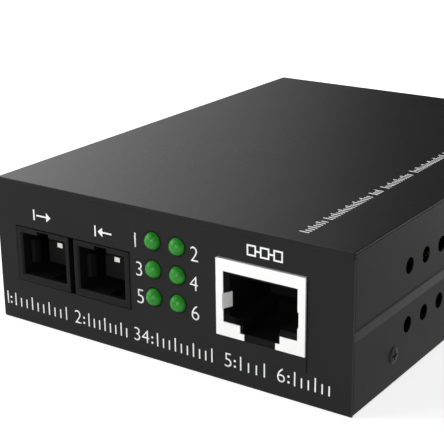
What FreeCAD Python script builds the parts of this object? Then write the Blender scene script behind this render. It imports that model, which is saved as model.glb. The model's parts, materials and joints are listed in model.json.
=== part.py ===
import FreeCAD, Part

# Fibre media converter: a folded steel case, 70 mm wide, with one shielded
# modular jack, one duplex fibre transceiver and six status lamps in its front.
#
# Millimetres. X runs to the right along the front, Y from the front to the
# back, Z up. The origin is the centre of the underside.

import math
import os

V = FreeCAD.Vector
X_AXIS = V(1, 0, 0)
Y_AXIS = V(0, 1, 0)
Z_AXIS = V(0, 0, 1)

# ---- Fineness of small round features --------------------------------------
small_round_sides = 12
lamp_sides = 16
hex_sides = 6
lead_sides = 4
clear_cut = 1.0              # a cutting shape runs past its piece by this much

# ---- Case ---------------------------------------------------------------
case_width = 70.0
case_depth = 94.0
case_height = 26.0
sheet = 0.6                  # steel sheet of both halves
fold_radius = 0.1            # inside radius of every fold
fold_outer = 0.4             # outside radius of every fold, coined sharp
seam = 0.1                   # gap kept between the two halves
lip_flat = 0.1               # straight end of the cover's short lips
wall_lift = 0.2              # cover walls stop this far above the table
flange_rise = 1.9            # tray side flange above the screw axis
corner_relief = 1.6          # notch between a tray flange and its panel

bead_middle = 13.5           # pressed bead that runs along each side wall
bead_depth = 1.0
bead_flat = 0.75             # width of the bead's bottom
bead_slope = 45.0            # degrees, of both flanks of the bead
vent_diameter = 2.7
vent_pitch = 5.8
vent_count = 11
vent_row_offset = 5.1        # rows above and below the middle of the bead

side_screw_inset = 13.4      # from the front and the back of the case
side_screw_z = 5.0
side_screw_thread = 2.0
side_screw_length = 3.0
side_screw_head = 3.3
side_screw_head_height = 0.4
head_crown = 0.45            # share of a screw head's height that is bevelled
screw_play = 0.15            # radial play of a screw in a plain hole
thread_play = 0.05           # radial play of a screw in its thread
press_play = 0.02            # radial play of a pressed-in piece
collar_wall = 0.6            # wall round a tapped, drawn-through hole
collar_length = 1.0

# ---- Circuit board --------------------------------------------------------
board_top = 8.0
board_thickness = 1.6
board_side_gap = 3.0         # side edge of the board to the outside of the case
board_end_gap = 1.5          # end of the board to the outside of the case
board_corner = 1.0
lead_play = 0.15             # radial play of a lead in its board hole

standoff_diameter = 5.2       # across the corners
stake_diameter = 4.2
board_screw_thread = 2.5
board_screw_length = 4.5
board_screw_head = 4.5
board_screw_head_height = 1.6
standoff_side_inset = 3.5    # from the side edges of the board
standoff_rear_inset = 5.0    # rear pair from the rear edge of the board
optic_standoff_gap = 5.1     # left front standoff behind the transceiver
jack_standoff_gap = 4.0      # right front standoff behind the jack

# ---- Modular jack ---------------------------------------------------------
port_gap = 0.15              # gap between a port and its cut-out in the panel
jack_inset = 7.8             # right side of the case to the jack
jack_proud = 0.35            # shield in front of the panel
jack_width = 16.0
jack_height = 12.75
jack_length = 18.0
shield_sheet = 0.25
shield_play = 0.05
plug_window_width = 13.3
plug_window_height = 8.4
plug_window_rise = 2.35      # window above the board
latch_window_width = 7.15
latch_window_rise = 1.05
latch_foot_width = 5.6
plug_cavity_width = 12.0
plug_cavity_height = 7.0
plug_cavity_depth = 12.2
plug_lead_in = 0.65
latch_channel_width = 6.4
latch_channel_depth = 10.0
finger_height = 2.6          # side springs that touch the plug's shield
finger_drop = 0.85           # middle of the springs below the middle of the window
finger_root = 0.45           # outer bend of a spring outside the edge of the window
finger_depth = 1.8
finger_slope = 0.8
finger_slot_play = 0.2
contact_count = 8
contact_pitch = 1.02
contact_width = 0.4
contact_thickness = 0.3
contact_slot_play = 0.1
contact_inset = 3.0          # front bend of a contact behind the jack's face
contact_drop = 3.2           # free end below the cavity's top
contact_reach = 8.0          # free end behind the front bend
contact_roof = 0.75          # contact middle above the cavity
contact_tail_setback = 1.6   # rear row of tails ahead of the jack's back
contact_row_pitch = 2.54
jack_post_diameter = 3.2
jack_post_spacing = 11.4
jack_post_root = 0.5         # post let into the moulding
jack_post_setback = 8.9
jack_post_length = 2.4
shield_tab_width = 1.2
shield_tab_setback = 5.8
shield_tab_root = 1.0        # tab let into the side of the shield
lead_stickout = 1.0          # leads past the underside of the board

# ---- Fibre transceiver ----------------------------------------------------
optic_inset = 4.25           # left side of the case to the transceiver
optic_proud = 0.1
optic_width = 24.7
optic_height = 9.85
optic_length = 38.0
optic_pitch = 12.7           # between the two fibre axes
optic_axis_rise = 4.95       # fibre axes above the board
optic_split = 1.1            # gap between the two fronts
optic_split_depth = 9.0
optic_port_width = 9.6
optic_port_height = 7.5
optic_port_depth = 8.0
optic_key_width = 2.6
optic_key_depth = 0.85
optic_mouth_bevel = 0.3
optic_floor_slot = (0.8, 4.3)    # slot beside the fibre axis, left by the mould core
optic_lip = 1.0              # front edge that closes the slot
optic_floor_slot_length = 4.5
optic_wall = 1.0
optic_bulkhead = 2.4
latch_arm_thickness = 0.7
latch_arm_height = 4.2
latch_plate_height = 6.8
latch_arm_length = 6.2
latch_arm_gap = 0.3          # between an arm and the port wall
latch_hook = 0.45
latch_plate = 1.1
sleeve_bore = 2.5
sleeve_wall = 0.55
sleeve_front = 3.9           # sleeve end behind the port's face
sleeve_bevel = 0.25
can_diameter = 6.2
can_flange = 7.6
can_flange_thickness = 1.0
can_length = 5.5
can_seat = 0.5               # can let into the bulkhead
can_play = 0.075
can_lead_spacing = 1.27
can_lead_run = 1.6
can_lead = 0.45
optic_board_thickness = 1.0
optic_board_lift = 0.6
optic_board_play = 0.3
pin_count = 9
pin_pitch = 2.54
pin_diameter = 0.5
pin_setback = 31.5
stud_diameter = 0.9
stud_setback = 21.0
driver_chip_size = (6.2, 5.0, 1.5)

# ---- Status lamps ---------------------------------------------------------
lamp_pitch = 4.8             # between columns and between rows
lamp_side_share = 0.33       # spare width between the ports that lies left of the lamps
lamp_drop = 0.7              # middle row below the middle of the room over the board
lamp_diameter = 3.0
lamp_dome_steps = (0, 30, 60, 90)    # degrees round the dome, tip first
lamp_hole = 3.2
lamp_proud = 1.2
lamp_body = 4.7              # dome tip to the back of the flange
lamp_flange = 3.7
lamp_flange_thickness = 0.9
lamp_play = 0.05
lamp_holder_margin = 0.5
lamp_lead = 0.5
lamp_lead_spacing = 2.54
lamp_lead_run = [7.4, 5.2, 3.0]   # run behind the flange, top row first

# ---- Power inlet ----------------------------------------------------------
power_inset = 11.5           # right side of the case to the inlet
power_width = 9.0
power_height = 11.0
power_length = 14.2
power_flange = 3.4
power_barrel = 8.4
power_axis_rise = 6.5
power_bore = 6.3
power_bore_depth = 9.5
power_pin = 2.0
power_pin_tip = 1.0          # pin end behind the inlet's face
power_gap = 0.2
power_recess = 0.3
power_tail_width = 1.8
power_tail = 0.4
power_chamfer = 0.4
power_spring_reach = 3.0
power_spring_rise = 0.9

# ---- Parts on the board ---------------------------------------------------
# Each place is a share of the board's half width and of its half length.
chip_size = 10.0
chip_height = 1.4
chip_lift = 0.15
chip_lead_count = 11         # on each side
chip_lead_pitch = 0.8
chip_lead_width = 0.35
chip_lead_thickness = 0.15
chip_foot = 1.0
chip_place = (0.125, -0.176)
magnetics_size = (12.7, 9.4, 5.6)
magnetics_place = (0.6, -0.385)
magnetics_lead_count = 8
magnetics_lead_pitch = 1.27
memory_size = (5.0, 4.0, 1.5)
memory_place = (-0.328, 0.176)
memory_lead_count = 4
memory_lead_pitch = 1.27
crystal_size = (11.2, 4.6, 3.5)
crystal_place = (0.188, 0.198)
crystal_flange = 0.4
crystal_end = 0.98           # share of the half width taken by a round end
capacitor_places = [(0.125, 0.747), (-0.25, 0.769), (0.25, 0.44)]
capacitor_sizes = [(8.0, 11.5), (8.0, 11.5), (6.3, 9.0)]    # diameter and height
capacitor_groove = 0.05      # share of the diameter
capacitor_lead_share = 0.22
inductor_size = (7.0, 7.0, 4.2)
inductor_place = (-0.156, 0.484)
regulator_size = (6.5, 6.1, 2.3)
regulator_place = (-0.547, 0.527)
regulator_tab_share = 0.84   # heat tab's width against the body's
fuse_diameter = 7.2
fuse_thickness = 3.2
fuse_lift = 1.2
fuse_lead_spacing = 5.0
fuse_place = (0.906, 0.593)
diode_size = (4.4, 2.6, 2.2)
diode_place = (0.672, 0.462)
passive_size = (2.0, 1.25, 0.6)
passive_places = [
    (-0.31, -0.055), (-0.44, -0.055), (-0.56, -0.055), (0.406, -0.11), (0.406, -0.2),
    (0.016, 0.055), (0.234, 0.055), (-0.516, 0.132), (-0.516, 0.22), (-0.11, 0.275),
    (0.469, 0.275), (-0.438, 0.341), (-0.688, 0.341), (0.719, -0.088), (0.719, 0.044),
    (0.39, 0.604), (-0.625, 0.747), (-0.625, 0.835),
]

# ---- Sizes that follow ----------------------------------------------------
front = -case_depth / 2
back = case_depth / 2
bend = fold_radius + sheet
lip_end = case_height - bend - lip_flat
panel_top = lip_end - seam
wall_x = case_width / 2 - sheet
tray_x = wall_x - seam
flange_x = tray_x - sheet
flange_top = side_screw_z + flange_rise
board_bottom = board_top - board_thickness
board_width = case_width - 2 * board_side_gap
board_length = case_depth - 2 * board_end_gap
lead_end = board_bottom - lead_stickout
jack_x = (case_width - jack_width) / 2 - jack_inset
jack_front = front - jack_proud
jack_rear = jack_front + jack_length
optic_x = optic_inset - (case_width - optic_width) / 2
optic_front = front - optic_proud
optic_rear = optic_front + optic_length
optic_axis = board_top + optic_axis_rise
optic_axes = {"transmit": optic_x - optic_pitch / 2, "receive": optic_x + optic_pitch / 2}
sleeve_diameter = sleeve_bore + 2 * sleeve_wall
side_screw_ys = [front + side_screw_inset, back - side_screw_inset]
vent_zs = [bead_middle - vent_row_offset, bead_middle + vent_row_offset]
power_x = (case_width - power_width) / 2 - power_inset
power_face = back - sheet + power_recess
power_axis = board_top + power_axis_rise
standoff_x = board_width / 2 - standoff_side_inset
standoff_rear = board_length / 2 - standoff_rear_inset
standoff_places = [(-standoff_x, optic_rear + optic_standoff_gap),
                   (standoff_x, jack_rear + jack_standoff_gap),
                   (-standoff_x, standoff_rear), (standoff_x, standoff_rear)]
lamp_block = lamp_pitch + lamp_flange + 2 * lamp_holder_margin
optic_right = optic_x + optic_width / 2
lamp_spare = jack_x - jack_width / 2 - optic_right - lamp_block
lamp_x = optic_right + lamp_side_share * lamp_spare + lamp_block / 2
lamp_z = (board_top + case_height - sheet) / 2 - lamp_drop
lamp_columns = [lamp_x - lamp_pitch / 2, lamp_x + lamp_pitch / 2]
lamp_rows = [lamp_z + lamp_pitch, lamp_z, lamp_z - lamp_pitch]


# ---- Shapes used by many pieces --------------------------------------------
def box(x0, x1, y0, y1, z0, z1):
    """Block between two corners."""
    return Part.makeBox(x1 - x0, y1 - y0, z1 - z0, V(x0, y0, z0))


def on_board(place):
    """Point on the board from shares of its half width and half length."""
    return place[0] * board_width / 2, place[1] * board_length / 2


def block_on(place, size, z0):
    """Block of a size, centred on a point in plan, standing at a height."""
    return box(place[0] - size[0] / 2, place[0] + size[0] / 2,
               place[1] - size[1] / 2, place[1] + size[1] / 2, z0, z0 + size[2])


def ring(radius, height, sides):
    """Corners of an even many-sided ring about Z."""
    step = 2 * math.pi / sides
    angles = [(index + 0.5) * step for index in range(sides)]
    return [V(radius * math.cos(angle), radius * math.sin(angle), height) for angle in angles]


def set_along(solid, x, y, z, axis):
    """Move a solid made about Z so that it starts at a point and runs along an axis."""
    solid.Placement = FreeCAD.Placement(V(x, y, z), FreeCAD.Rotation(Z_AXIS, axis))
    return solid


def rod(x, y, z, diameter, length, axis, sides=small_round_sides):
    """Round bar or hole from a point along an axis, with flat sides to keep it light."""
    bar = prism(ring(diameter / 2, 0, sides), V(0, 0, length))
    return set_along(bar, x, y, z, axis)


def true_rod(x, y, z, diameter, length, axis):
    """Round bar or hole with a smooth wall."""
    return Part.makeCylinder(diameter / 2, length, V(x, y, z), axis)


def prism(points, direction):
    """Solid swept from a closed outline of straight edges."""
    wire = Part.makePolygon(points + [points[0]])
    return Part.Face(wire).extrude(direction)


def turned(profile, x, y, z, axis, sides=small_round_sides):
    """Turned solid from (radius, height) points, with flat sides to keep it light."""
    faces = []
    for (r0, h0), (r1, h1) in zip(profile, profile[1:] + profile[:1]):
        low = ring(r0, h0, sides)
        high = ring(r1, h1, sides)
        for index in range(sides):
            following = (index + 1) % sides
            corners = [low[index], low[following], high[following], high[index]]
            if r0 == 0:
                corners = corners[1:]
            elif r1 == 0:
                corners = corners[:3]
            if r0 > 0 or r1 > 0:
                faces.append(Part.Face(Part.makePolygon(corners + [corners[0]])))
    shell = Part.makeShell(faces)
    shell.sewShape()
    solid = Part.makeSolid(shell)
    if solid.Volume < 0:
        solid.reverse()
    return set_along(solid.removeSplitter(), x, y, z, axis)


def rounded(solid, radius, wanted):
    """Fillet the straight edges that a test picks."""
    return solid.makeFillet(radius, [edge for edge in solid.Edges if wanted(edge)])


def chamfered(solid, size, wanted):
    """Chamfer the edges that a test picks."""
    return solid.makeChamfer(size, [edge for edge in solid.Edges if wanted(edge)])


def edge_at(edge, **places):
    """True where every point of the edge has the given coordinates."""
    bounds = edge.BoundBox
    for axis, value in places.items():
        low = getattr(bounds, axis.upper() + "Min")
        high = getattr(bounds, axis.upper() + "Max")
        if abs(low - value) > 1e-4 or abs(high - value) > 1e-4:
            return False
    return True


def upright(edge):
    """True for a straight edge along Z."""
    bounds = edge.BoundBox
    return bounds.XLength < 1e-4 and bounds.YLength < 1e-4


def mirrored_x(shape):
    """The shape and its mirror image across the YZ plane."""
    return [shape, shape.mirror(V(0, 0, 0), X_AXIS)]


def group(solids):
    """Separate solids held in one node."""
    return Part.makeCompound(solids)


def pan_screw(x, y, z, axis, thread, length, head, head_height):
    """Pan-head screw: the seat of its head is at the point, its tip down the axis."""
    crown = head_height * head_crown
    profile = [(0, -head_height), (head / 2 - crown, -head_height), (head / 2, -head_height + crown),
               (head / 2, 0), (thread / 2, 0), (thread / 2, length), (0, length)]
    return turned(profile, x, y, z, axis)


# ---- Case -------------------------------------------------------------------
def capped_block(half_x, half_y, z0, z1, radius, corners):
    """Block with round top edges, and round upright corners where asked."""
    block = box(-half_x, half_x, -half_y, half_y, z0, z1)
    return rounded(block, radius,
                   lambda edge: edge_at(edge, z=z1) or (corners and upright(edge)))


def tub_block(half_x, half_y, z0, z1, radius):
    """Block with round bottom edges."""
    block = box(-half_x, half_x, -half_y, half_y, z0, z1)
    return rounded(block, radius, lambda edge: edge_at(edge, z=z0))


def bead_prism(x_floor, half_flat, rise):
    """Trapezoid that runs along a side wall, from the floor of the bead outwards."""
    y0 = front + sheet + seam
    half_open = half_flat + rise / math.tan(math.radians(bead_slope))
    x_open = x_floor + rise
    outline = [V(x_open, y0, bead_middle - half_open), V(x_open, y0, bead_middle + half_open),
               V(x_floor, y0, bead_middle + half_flat), V(x_floor, y0, bead_middle - half_flat)]
    return prism(outline, V(0, -2 * y0, 0))


def vent_ys():
    """Places of the vents along the case."""
    first = -vent_pitch * (vent_count - 1) / 2
    return [first + index * vent_pitch for index in range(vent_count)]


def top_cover():
    """Top, both side walls and the two short lips, pressed from one sheet."""
    shell = capped_block(case_width / 2, back, wall_lift, case_height, fold_outer, True)
    hollow = capped_block(wall_x, back - sheet, wall_lift - clear_cut, case_height - sheet,
                          fold_radius, False)
    shell = shell.cut(hollow)
    wall_end = back - sheet - seam
    for y0, y1 in ((front - clear_cut, -wall_end), (wall_end, back + clear_cut)):
        shell = shell.cut(box(-case_width, case_width, y0, y1, -clear_cut, lip_end))
    inner_flat = bead_flat / 2 + math.tan(math.radians(bead_slope / 2)) * sheet
    inside = bead_prism(wall_x - bead_depth, inner_flat, bead_depth + sheet / 2)
    outside = bead_prism(case_width / 2 - bead_depth, bead_flat / 2, bead_depth + clear_cut)
    shell = shell.fuse(mirrored_x(inside)).cut(mirrored_x(outside))
    holes = [rod(-case_width, y, z, vent_diameter, 2 * case_width, X_AXIS)
             for y in vent_ys() for z in vent_zs]
    holes += [rod(-case_width, y, side_screw_z, side_screw_thread + 2 * screw_play,
                  2 * case_width, X_AXIS) for y in side_screw_ys]
    return shell.cut(holes).removeSplitter()


def port_cutouts():
    """Openings in the front panel for the jack, the transceiver and the lamps."""
    reach = 2 * sheet
    cuts = []
    for x, width, height in ((jack_x, jack_width, jack_height), (optic_x, optic_width, optic_height)):
        cuts.append(box(x - width / 2 - port_gap, x + width / 2 + port_gap, front - reach,
                        front + reach, board_top - port_gap, board_top + height + port_gap))
    for x in lamp_columns:
        for z in lamp_rows:
            cuts.append(rod(x, front - reach, z, lamp_hole, 2 * reach, Y_AXIS, lamp_sides))
    return cuts


def power_cutout():
    """Opening in the rear panel for the power inlet."""
    return box(power_x - power_width / 2 - power_gap, power_x + power_width / 2 + power_gap,
               back - 2 * sheet, back + sheet,
               board_top - power_gap, board_top + power_height + power_gap)


def base_tray():
    """Floor, front panel, rear panel and two low side flanges, folded from one sheet."""
    tray = tub_block(tray_x, back, 0, panel_top, fold_outer)
    over = panel_top + clear_cut
    tray = tray.cut(tub_block(flange_x, back - sheet, sheet, over, fold_radius))
    for side in (-1, 1):
        x0, x1 = sorted((side * (flange_x - fold_radius), side * (tray_x + clear_cut)))
        tray = tray.cut(box(x0, x1, front + sheet, back - sheet, flange_top, over))
        for end in (-1, 1):
            y0, y1 = sorted((end * (back - sheet), end * (back - sheet - corner_relief)))
            tray = tray.cut(box(x0, x1, y0, y1, bend, over))
    panels = tub_block(case_width, back, 0, panel_top, fold_outer)
    ears = []
    for side in (-1, 1):
        x0, x1 = sorted((side * (tray_x - fold_outer), side * case_width / 2))
        ears += [panels.common(box(x0, x1, y0, y0 + sheet, 0, panel_top))
                 for y0 in (front, back - sheet)]
    collars = [rod(side * (flange_x + sheet / 2), y, side_screw_z,
                   side_screw_thread + 2 * collar_wall, collar_length + sheet / 2, X_AXIS * -side)
               for side in (-1, 1) for y in side_screw_ys]
    tray = tray.fuse(ears + collars)
    holes = port_cutouts() + [power_cutout()]
    holes += [rod(-case_width, y, side_screw_z, side_screw_thread + 2 * thread_play,
                  2 * case_width, X_AXIS) for y in side_screw_ys]
    holes += [rod(x, y, -clear_cut, stake_diameter, sheet + 2 * clear_cut, Z_AXIS, hex_sides)
              for x, y in standoff_places]
    return tray.cut(holes).removeSplitter()


def side_screws():
    """Four screws that hold the cover to the tray flanges."""
    return group([pan_screw(side * case_width / 2, y, side_screw_z, X_AXIS * -side,
                            side_screw_thread, side_screw_length, side_screw_head,
                            side_screw_head_height)
                  for side in (-1, 1) for y in side_screw_ys])


# ---- Board and its carriers ---------------------------------------------------
def board_standoffs():
    """Four six-sided standoffs, pressed into the floor, with tapped bores."""
    bore = board_screw_thread + 2 * thread_play
    standoffs = []
    for x, y in standoff_places:
        body = rod(x, y, sheet, standoff_diameter, board_bottom - sheet, Z_AXIS, hex_sides)
        stake = rod(x, y, 0, stake_diameter, sheet, Z_AXIS, hex_sides)
        hole = rod(x, y, -clear_cut, bore, board_bottom + 2 * clear_cut, Z_AXIS)
        standoffs.append(body.fuse(stake).cut(hole).removeSplitter())
    return group(standoffs)


def board_screws():
    """Four pan-head screws through the board."""
    return group([pan_screw(x, y, board_top, Z_AXIS * -1, board_screw_thread, board_screw_length,
                            board_screw_head, board_screw_head_height)
                  for x, y in standoff_places])


def lead_places():
    """Every lead that passes through the board: x, y and diameter."""
    places = []
    for x in optic_pin_xs():
        places.append((x, optic_front + pin_setback, pin_diameter))
    for x in stud_xs():
        places.append((x, optic_front + stud_setback, stud_diameter))
    for x, _, y in lamp_lead_places():
        places.append((x, y, lamp_lead))
    for side in (-1, 1):
        places.append((jack_x + side * jack_post_spacing / 2, jack_front + jack_post_setback,
                       jack_post_diameter))
        places.append((jack_x + side * (jack_width - shield_sheet) / 2,
                       jack_front + shield_tab_setback, shield_tab_width))
    for x in contact_xs():
        places.append((x, contact_tail_y(x), contact_width))
    places += [(x, y, lamp_lead) for x, y in capacitor_lead_places() + fuse_lead_places()]
    for y in power_tail_ys():
        places.append((power_x, y + power_tail / 2, power_tail_width))
    return places


def circuit_board():
    """Glass-fibre board with its mounting holes and lead holes."""
    half_x = board_width / 2
    half_y = board_length / 2
    board = box(-half_x, half_x, -half_y, half_y, board_bottom, board_top)
    board = rounded(board, board_corner, upright)
    through = 2 * board_thickness
    holes = [rod(x, y, board_bottom - board_thickness / 2, (diameter + 2 * lead_play) * math.sqrt(2),
                 through, Z_AXIS, lead_sides) for x, y, diameter in lead_places()]
    holes += [rod(x, y, board_bottom - board_thickness / 2, board_screw_thread + 2 * screw_play,
                  through, Z_AXIS) for x, y in standoff_places]
    return board.cut(holes)


# ---- Modular jack ---------------------------------------------------------------
def contact_xs():
    """Middle of each of the eight contacts."""
    first = jack_x - contact_pitch * (contact_count - 1) / 2
    return [first + index * contact_pitch for index in range(contact_count)]


def contact_tail_y(x):
    """Contact tails leave the jack in two staggered rows."""
    row = contact_xs().index(x) % 2
    return jack_rear - contact_tail_setback - row * contact_row_pitch


def window_z():
    """Bottom of the plug window."""
    return board_top + plug_window_rise


def plug_cavity_z():
    """Bottom of the plug cavity, centred on the window."""
    return window_z() + (plug_window_height - plug_cavity_height) / 2


def finger_z():
    """Middle of the side springs."""
    return window_z() + plug_window_height / 2 - finger_drop


def finger_bend():
    """Outer bend of a side spring, from the middle of the jack."""
    return plug_window_width / 2 + finger_root


def jack_shield():
    """Plated sheet can of the jack with its plug window and side springs."""
    half = jack_width / 2
    top = board_top + jack_height
    can = box(jack_x - half, jack_x + half, jack_front, jack_rear, board_top, top)
    can = can.cut(box(jack_x - half + shield_sheet, jack_x + half - shield_sheet,
                      jack_front + shield_sheet, jack_rear - shield_sheet,
                      board_top - clear_cut, top - shield_sheet))
    y0 = jack_front - clear_cut
    y1 = jack_front + shield_sheet
    window = [
        box(jack_x - plug_window_width / 2, jack_x + plug_window_width / 2, y0, y1,
            window_z(), window_z() + plug_window_height),
        box(jack_x - latch_window_width / 2, jack_x + latch_window_width / 2, y0, y1,
            board_top + latch_window_rise, window_z()),
        box(jack_x - latch_foot_width / 2, jack_x + latch_foot_width / 2, y0, y1,
            board_top - clear_cut, board_top + latch_window_rise),
        box(jack_x - finger_bend(), jack_x + finger_bend(), y0, y1,
            finger_z() - finger_height / 2, finger_z() + finger_height / 2),
    ]
    can = can.cut(window)
    pieces = []
    low = finger_z() - finger_height / 2
    for side in (-1, 1):
        bend_x = jack_x + side * finger_bend()
        root = bend_x + side * shield_sheet / 2
        outline = [V(root, jack_front, low), V(bend_x - side * shield_sheet, jack_front, low),
                   V(bend_x - side * (shield_sheet + finger_slope), jack_front + finger_depth, low),
                   V(bend_x - side * finger_slope, jack_front + finger_depth, low),
                   V(bend_x, jack_front + shield_sheet, low),
                   V(root, jack_front + shield_sheet, low)]
        pieces.append(prism(outline, V(0, 0, finger_height)))
        x0, x1 = sorted((jack_x + side * half, jack_x + side * (half - shield_sheet)))
        tab_y = jack_front + shield_tab_setback
        pieces.append(box(x0, x1, tab_y - shield_tab_width / 2, tab_y + shield_tab_width / 2,
                          lead_end, board_top + shield_tab_root))
    return can.fuse(pieces).removeSplitter()


def contact_roof_z():
    """Middle of the level run of a contact."""
    return plug_cavity_z() + plug_cavity_height + contact_roof


def contact_fold():
    """Free end of a contact, and where its slope leaves the level run on either side."""
    y = jack_front + contact_inset
    tip_y = y + contact_reach
    tip_z = plug_cavity_z() + plug_cavity_height - contact_drop
    fall = contact_roof_z() - tip_z
    run = math.hypot(contact_reach, fall)
    inner_y = y + contact_reach / fall * contact_thickness / 2
    outer_y = inner_y - contact_thickness * run / fall
    offset = (contact_thickness * fall / run, contact_thickness * contact_reach / run)
    return tip_y, tip_z, inner_y, outer_y, offset


def jack_contacts():
    """Eight gold-plated spring contacts, each bent from one strip."""
    half = contact_thickness / 2
    roof = contact_roof_z()
    tip_y, tip_z, inner_y, outer_y, offset = contact_fold()
    contacts = []
    for x in contact_xs():
        tail = contact_tail_y(x)
        x0 = x - contact_width / 2
        outline = [
            V(x0, tail + half, lead_end), V(x0, tail + half, roof + half),
            V(x0, outer_y, roof + half), V(x0, outer_y, roof - half),
            V(x0, tip_y - offset[0], tip_z - offset[1]), V(x0, tip_y, tip_z),
            V(x0, inner_y, roof - half), V(x0, tail - half, roof - half),
            V(x0, tail - half, lead_end),
        ]
        contacts.append(prism(outline, V(contact_width, 0, 0)))
    return group(contacts)


def mouth_frustum(x, z, half_x, half_z, y, size):
    """Lead-in bevel of a rectangular opening in a face at y."""
    rings = []
    for depth, grow in ((0, size), (size, 0)):
        corners = [V(x - half_x - grow, y + depth, z - half_z - grow),
                   V(x + half_x + grow, y + depth, z - half_z - grow),
                   V(x + half_x + grow, y + depth, z + half_z + grow),
                   V(x - half_x - grow, y + depth, z + half_z + grow)]
        rings.append(Part.makePolygon(corners + [corners[0]]))
    return Part.makeLoft(rings, True, True)


def jack_insulator():
    """Black moulding with the plug cavity, latch channel and contact slots."""
    half = jack_width / 2 - shield_sheet - shield_play
    y0 = jack_front + shield_sheet + shield_play
    y1 = jack_rear - shield_sheet - shield_play
    top = board_top + jack_height - shield_sheet - shield_play
    body = box(jack_x - half, jack_x + half, y0, y1, board_top, top)
    cavity_z = plug_cavity_z()
    cavity_x = plug_cavity_width / 2
    cuts = [
        box(jack_x - cavity_x, jack_x + cavity_x, y0 - clear_cut, y0 + plug_cavity_depth,
            cavity_z, cavity_z + plug_cavity_height),
        box(jack_x - latch_channel_width / 2, jack_x + latch_channel_width / 2, y0 - clear_cut,
            y0 + latch_channel_depth, board_top + latch_window_rise, cavity_z + clear_cut),
    ]
    cuts.append(mouth_frustum(jack_x, cavity_z + plug_cavity_height / 2, cavity_x,
                              plug_cavity_height / 2, y0, plug_lead_in))
    reach = finger_height / 2 + finger_slot_play
    finger_x = finger_bend() + finger_slot_play
    cuts.append(box(jack_x - finger_x, jack_x + finger_x, y0 - clear_cut,
                    jack_front + finger_depth + finger_slot_play,
                    finger_z() - reach, finger_z() + reach))
    roof = contact_roof_z()
    slot = contact_thickness / 2 + contact_slot_play
    slot_half = contact_width / 2 + contact_slot_play
    slot_y = contact_fold()[3] - contact_slot_play
    for x in contact_xs():
        tail = contact_tail_y(x)
        cuts.append(box(x - slot_half, x + slot_half, slot_y, tail + slot,
                        cavity_z + plug_cavity_height - clear_cut, roof + slot))
        cuts.append(box(x - slot_half, x + slot_half, tail - slot, tail + slot,
                        board_top - clear_cut, roof + slot))
    posts = [rod(jack_x + side * jack_post_spacing / 2, jack_front + jack_post_setback,
                 board_top - jack_post_length, jack_post_diameter,
                 jack_post_length + jack_post_root, Z_AXIS)
             for side in (-1, 1)]
    return body.fuse(posts).cut(cuts).removeSplitter()


# ---- Fibre transceiver ---------------------------------------------------------
def optic_pin_xs():
    """Nine pins in one row."""
    first = optic_x - pin_pitch * (pin_count - 1) / 2
    return [first + index * pin_pitch for index in range(pin_count)]


def stud_xs():
    """Two plain studs, one under each side wall of the transceiver."""
    middle = (optic_width - optic_wall) / 2
    return [optic_x - middle, optic_x + middle]


def bulkhead_y():
    """Front of the wall that carries the optics."""
    return optic_front + optic_port_depth


def transceiver_housing():
    """Black moulding with both fibre ports, open below for the optics."""
    half = optic_width / 2
    top = board_top + optic_height
    below = board_top - clear_cut
    before = optic_front - clear_cut
    body = box(optic_x - half, optic_x + half, optic_front, optic_rear, board_top, top)
    split = box(optic_x - optic_split / 2, optic_x + optic_split / 2, before,
                optic_front + optic_split_depth, below, top + clear_cut)
    cuts = [split]
    for x in optic_axes.values():
        cuts.append(box(x - optic_port_width / 2, x + optic_port_width / 2, before,
                        bulkhead_y(), optic_axis - optic_port_height / 2,
                        optic_axis + optic_port_height / 2))
        cuts.append(mouth_frustum(x, optic_axis, optic_port_width / 2, optic_port_height / 2,
                                  optic_front, optic_mouth_bevel))
        cuts.append(box(x - optic_key_width / 2, x + optic_key_width / 2, before,
                        bulkhead_y(), optic_axis,
                        optic_axis + optic_port_height / 2 + optic_key_depth))
        cuts.append(box(x + optic_floor_slot[0], x + optic_floor_slot[1],
                        optic_front + optic_lip, optic_front + optic_lip + optic_floor_slot_length,
                        below, optic_axis))
        cuts.append(rod(x, bulkhead_y() - clear_cut, optic_axis, sleeve_diameter + 2 * press_play,
                        optic_bulkhead + 2 * clear_cut, Y_AXIS, lamp_sides))
        cuts.append(rod(x, can_seat_y(), optic_axis, can_flange, can_seat + clear_cut, Y_AXIS))
    cuts.append(box(optic_x - half + optic_wall, optic_x + half - optic_wall,
                    bulkhead_y() + optic_bulkhead, optic_rear - optic_wall, below,
                    top - optic_wall))
    return body.cut(cuts).removeSplitter()


def fibre_sleeve(x):
    """Alignment sleeve of one port, with a bevelled mouth."""
    bore = sleeve_bore / 2
    outer = sleeve_diameter / 2
    front_y = optic_front + sleeve_front
    end = can_seat_y() - front_y
    profile = [(bore + sleeve_bevel, 0), (outer - sleeve_bevel, 0), (outer, sleeve_bevel),
               (outer, end), (bore, end), (bore, sleeve_bevel)]
    return turned(profile, x, front_y, optic_axis, Y_AXIS, lamp_sides)


def fibre_latch(x):
    """Pair of hooked arms on a plate that seats against the bulkhead."""
    inner = optic_port_width / 2 - latch_arm_gap
    y1 = bulkhead_y()
    y0 = y1 - latch_arm_length
    z0 = optic_axis - latch_arm_height / 2
    plate = box(x - inner, x + inner, y1 - latch_plate, y1,
                optic_axis - latch_plate_height / 2, optic_axis + latch_plate_height / 2)
    arms = []
    for side in (-1, 1):
        wall = x + side * inner
        face = wall - side * latch_arm_thickness
        hook = face - side * latch_hook
        outline = [V(wall, y1, z0), V(wall, y0, z0), V(face, y0, z0),
                   V(hook, y0 + 2 * latch_hook, z0), V(hook, y0 + 3 * latch_hook, z0),
                   V(face, y0 + 3 * latch_hook, z0), V(face, y1, z0)]
        arms.append(prism(outline, V(0, 0, latch_arm_height)))
    hole = rod(x, y1 - latch_plate - clear_cut, optic_axis, sleeve_diameter + 2 * press_play,
               latch_plate + 2 * clear_cut, Y_AXIS, lamp_sides)
    return plate.fuse(arms).cut(hole).removeSplitter()


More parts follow.
